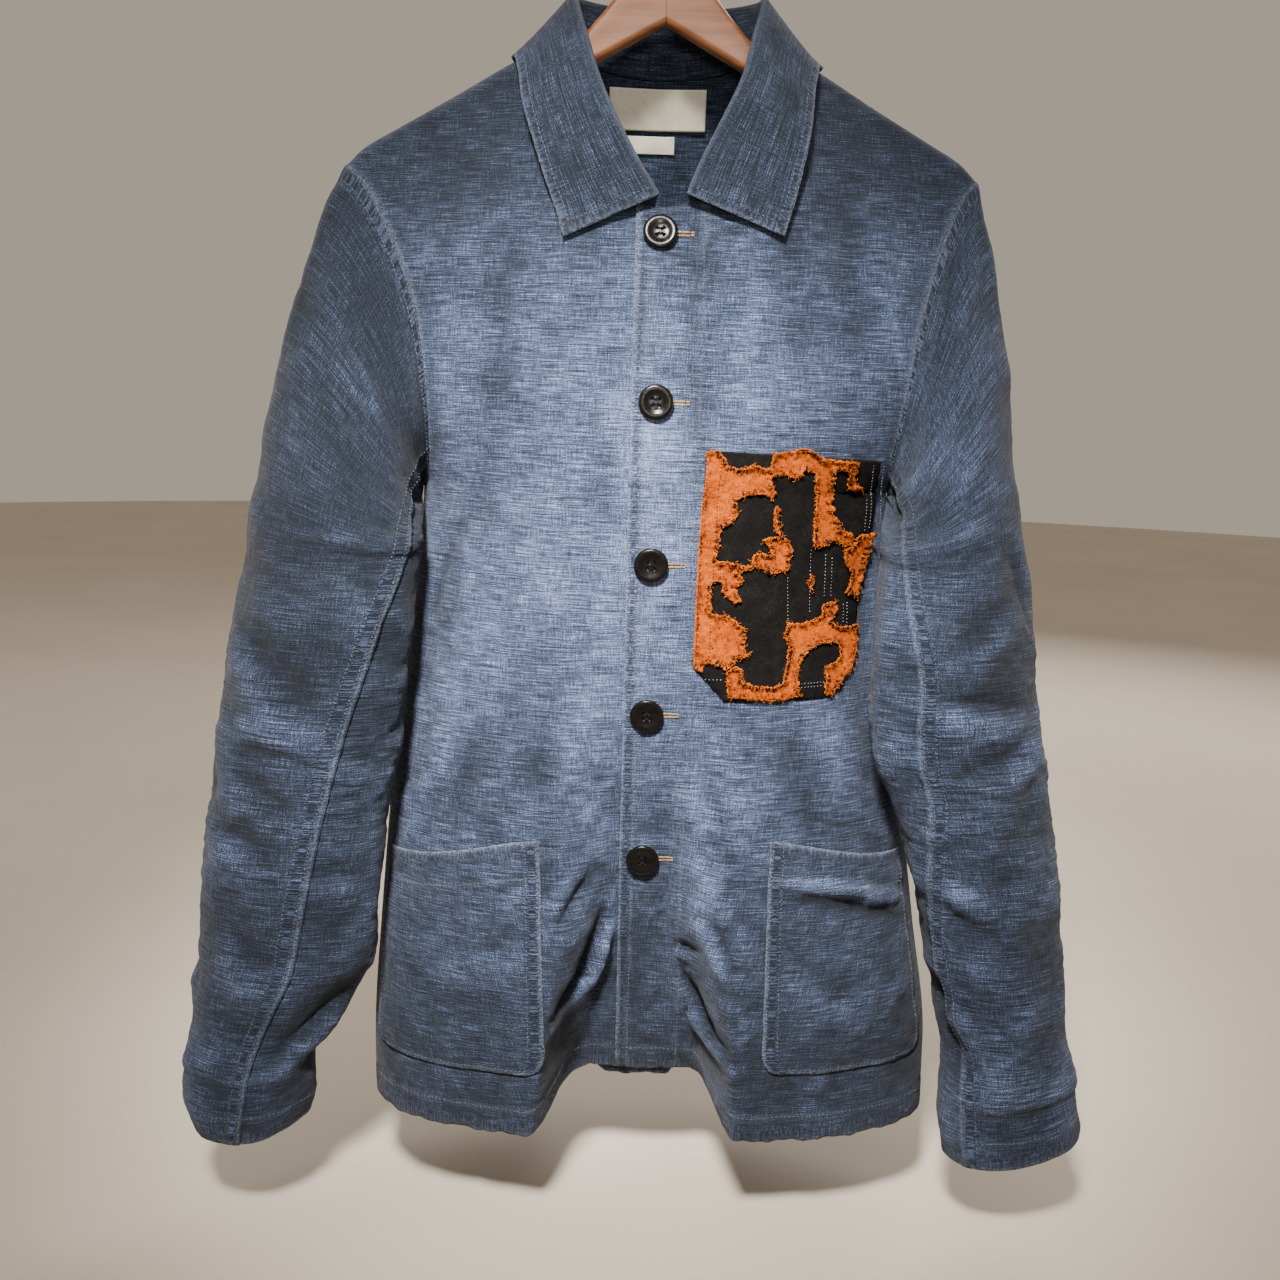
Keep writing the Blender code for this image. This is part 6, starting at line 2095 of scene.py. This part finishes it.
def make_world():
    world = bpy.data.worlds.new("Pale room")
    world.use_nodes = True
    world.node_tree.nodes["Background"].inputs["Color"].default_value = (0.92, 0.80, 0.66, 1.0)
    world.node_tree.nodes["Background"].inputs["Strength"].default_value = 0.46
    bpy.context.scene.world = world


def make_camera():
    data = bpy.data.cameras.new("camera")
    data.sensor_width = SENSOR_WIDTH
    data.lens = FOCAL_PIXELS / PHOTO_PIXELS * SENSOR_WIDTH
    data.clip_start = 0.01
    camera = bpy.data.objects.new("camera", data)
    look = Euler((math.radians(90 - CAMERA_PITCH), 0, 0)).to_matrix().to_4x4()
    camera.matrix_world = (Matrix.Translation(CAMERA_PLACE) @ look
                           @ Matrix.Rotation(math.radians(CAMERA_ROLL), 4, "Z"))
    bpy.context.scene.collection.objects.link(camera)
    bpy.context.scene.camera = camera


# Settings and operators


def colour_setting(name, description, default):
    return bpy.props.FloatVectorProperty(name=name, description=description, default=default, size=3,
                                         min=0.0, max=1.0, subtype="COLOR")


class JacketColours(bpy.types.PropertyGroup):
    """Colours of the jacket's cloths, buttons and hanger."""

    # Dark indigo is also the colour that the painted shade in creases and pucker hollows takes the cloth
    # to.
    indigo_dark: colour_setting("Dark indigo", "Unfaded slubs and hollows", linear((22, 26, 34)))
    indigo: colour_setting("Indigo", "The cloth's middle tone", linear((50, 59, 77)))
    indigo_pale: colour_setting("Pale indigo", "Faded threads", linear((93, 108, 146)))
    indigo_rubbed: colour_setting("Rubbed indigo", "The palest threads", linear((160, 172, 208)))
    worn_thread: colour_setting("Worn edge", "Threads rubbed bare at edges", linear((146, 158, 180)))
    orange: colour_setting("Orange", "Rust-orange cloth", linear((170, 74, 6)))
    orange_dark: colour_setting("Dark orange", "Its shaded threads", linear((70, 24, 5)))
    orange_pale: colour_setting("Pale orange", "Its faded threads", linear((202, 106, 24)))
    button_dark: colour_setting("Button", "Dark horn", (0.0030, 0.0026, 0.0026))
    button_brown: colour_setting("Button veins", "Brown veins in the horn", (0.0080, 0.0056, 0.0045))
    wood_dark: colour_setting("Dark wood", "The hanger's late wood", linear((92, 52, 32)))
    wood_pale: colour_setting("Pale wood", "The hanger's early wood", linear((150, 96, 60)))
    label_dark: colour_setting("Label shade", "The label's shaded weave", linear((205, 196, 172)))
    label_pale: colour_setting("Label", "The label's cream", linear((246, 240, 220)))


class JacketSizes(bpy.types.PropertyGroup):
    """Sizes of the sewing and of the stage."""

    stitch_length: bpy.props.FloatProperty(name="Stitch length", description="Length of one stitch",
                                           default=0.0023, min=0.0005, max=0.01, unit="LENGTH")
    thread_radius: bpy.props.FloatProperty(name="Thread radius", description="Half a sewing thread",
                                           default=0.00026, min=0.0001, max=0.001, unit="LENGTH")
    fray_length: bpy.props.FloatProperty(name="Fray", description="Longest loose thread, as drawn",
                                         default=50.0, min=1.0, max=200.0)
    floor_height: bpy.props.FloatProperty(name="Floor", description="Height of the floor",
                                          default=CAD_BOX[0][2] - 0.055, unit="LENGTH")


class JACKET_OT_fronts(bpy.types.Operator):
    """Make the two fronts, the left one lapping the right"""

    bl_idname = "jacket.fronts"
    bl_label = "Fronts"

    def execute(self, context):
        make_front(1)
        make_front(-1)
        return {"FINISHED"}


class JACKET_OT_back(bpy.types.Operator):
    """Make the back"""

    bl_idname = "jacket.back"
    bl_label = "Back"

    def execute(self, context):
        make_back_panel()
        return {"FINISHED"}


class JACKET_OT_sleeves(bpy.types.Operator):
    """Make the two-piece sleeves"""

    bl_idname = "jacket.sleeves"
    bl_label = "Sleeves"

    def execute(self, context):
        for side, word in SIDE_WORD.items():
            make_sleeve(side, False)
            make_sleeve(side, True)
        return {"FINISHED"}


class JACKET_OT_collar(bpy.types.Operator):
    """Make the pointed collar"""

    bl_idname = "jacket.collar"
    bl_label = "Collar"

    def execute(self, context):
        make_collar_piece()
        return {"FINISHED"}


class JACKET_OT_lower_pockets(bpy.types.Operator):
    """Make the two patch pockets low on the fronts"""

    bl_idname = "jacket.lower_pockets"
    bl_label = "Lower pockets"

    def execute(self, context):
        for side, word in SIDE_WORD.items():
            make_lower_pocket(side)
        return {"FINISHED"}


class JACKET_OT_chest_pocket(bpy.types.Operator):
    """Make the black chest pocket and the torn orange cloth sewn on it"""

    bl_idname = "jacket.chest_pocket"
    bl_label = "Chest pocket"

    def execute(self, context):
        make_pocket_base()
        for seed, name in enumerate(TORN_CLOTH, TORN_SEED):
            flat, area = torn_flat(name)
            make_torn_patch(name, seed)
        make_fray(context.scene.jacket_sizes.fray_length)
        return {"FINISHED"}


class JACKET_OT_sewing(bpy.types.Operator):
    """Sew every seam, hem and edge"""

    bl_idname = "jacket.sewing"
    bl_label = "Sewing"

    def execute(self, context):
        sizes = context.scene.jacket_sizes
        stitch_piece("pale_sewing", jacket_rows(), sizes.stitch_length, sizes.thread_radius,
                     "blue thread")
        stitch_piece("white_sewing", pocket_rows(), 0.0011, 0.00028, "white thread")
        stitch_piece("edge_sewing", edge_rows(), 0.0012, 0.00030, "dark thread")
        stitch_piece("mending_sewing", mending_rows(), 0.0036, 0.00070, "dark thread")
        holes = [row for drop in BUTTON_DROPS for row in buttonhole_rows(drop)]
        stitch_piece("buttonholes", holes, 0.0017, 0.00032, "tan thread")
        return {"FINISHED"}


class JACKET_OT_buttons(bpy.types.Operator):
    """Make and sew on the five buttons"""

    bl_idname = "jacket.buttons"
    bl_label = "Buttons"

    def execute(self, context):
        bored = turned_button()
        for number, drop in enumerate(BUTTON_DROPS, 1):
            make_button(number, drop, bored)
            button_thread(number, drop)
        return {"FINISHED"}


class JACKET_OT_labels(bpy.types.Operator):
    """Make the two blank woven labels inside the neck"""

    bl_idname = "jacket.labels"
    bl_label = "Labels"

    def execute(self, context):
        for name, facts, node in (("neck_label", LABEL_MAIN, "label_main"),
                                  ("size_label", LABEL_SIZE, "label_size")):
            make_label(name, facts, node)
        return {"FINISHED"}


class JACKET_OT_hanger(bpy.types.Operator):
    """Make the wooden hanger and its wire hook"""

    bl_idname = "jacket.hanger"
    bl_label = "Hanger"

    def execute(self, context):
        make_hanger_body()
        make_hook_wire()
        make_ferrule()
        return {"FINISHED"}


class JACKET_OT_stage(bpy.types.Operator):
    """Set the floor, the soft lights and the camera"""

    bl_idname = "jacket.stage"
    bl_label = "Stage"

    def execute(self, context):
        make_floor(context.scene.jacket_sizes)
        make_world()
        make_camera()
        soft_light("key", (-0.22, -1.25, 0.80), (-0.03, -0.10, -0.49), 0.30, 4.8, (1.0, 0.97, 0.92), 31.0)
        soft_light("neck fill", (0.05, -1.3, -0.15), (0, 0, -0.12), 0.25, 0.28, (1.0, 0.97, 0.92), 40.0)
        soft_light("back light", (0.9, 1.9, 0.5), (0, 0, -0.45), 1.4, 34.0, (1.0, 0.98, 0.95))
        soft_light("left fill", (2.3, 0.2, 0.2), (0, 0, -0.5), 1.2, 9.0, (1.0, 0.98, 0.95))
        soft_light("right fill", (-2.3, 0.3, 0.2), (0, 0, -0.5), 1.2, 9.0, (1.0, 0.98, 0.95))
        return {"FINISHED"}


class JACKET_PT_panel(bpy.types.Panel):
    """The jacket's pieces, sizes and colours"""

    bl_label = "Jacket"
    bl_idname = "JACKET_PT_panel"
    bl_space_type = "VIEW_3D"
    bl_region_type = "UI"
    bl_category = "Jacket"

    def draw(self, context):
        layout = self.layout
        for group in (context.scene.jacket_sizes, context.scene.jacket_colours):
            box = layout.box()
            for name in group.__annotations__:
                box.prop(group, name)
        for operator in OPERATORS:
            layout.operator(operator.bl_idname)


OPERATORS = (JACKET_OT_stage, JACKET_OT_fronts, JACKET_OT_back, JACKET_OT_sleeves, JACKET_OT_collar,
             JACKET_OT_lower_pockets, JACKET_OT_chest_pocket, JACKET_OT_buttons, JACKET_OT_sewing,
             JACKET_OT_labels, JACKET_OT_hanger)
CLASSES = (JacketColours, JacketSizes) + OPERATORS + (JACKET_PT_panel,)


def register():
    for cls in CLASSES:
        bpy.utils.register_class(cls)
    bpy.types.Scene.jacket_colours = bpy.props.PointerProperty(type=JacketColours)
    bpy.types.Scene.jacket_sizes = bpy.props.PointerProperty(type=JacketSizes)


def unregister():
    del bpy.types.Scene.jacket_sizes
    del bpy.types.Scene.jacket_colours
    for cls in reversed(CLASSES):
        bpy.utils.unregister_class(cls)


def main():
    register()
    for operator in OPERATORS:
        group, name = operator.bl_idname.split(".")
        getattr(getattr(bpy.ops, group), name)()


if __name__ == "__main__":
    main()
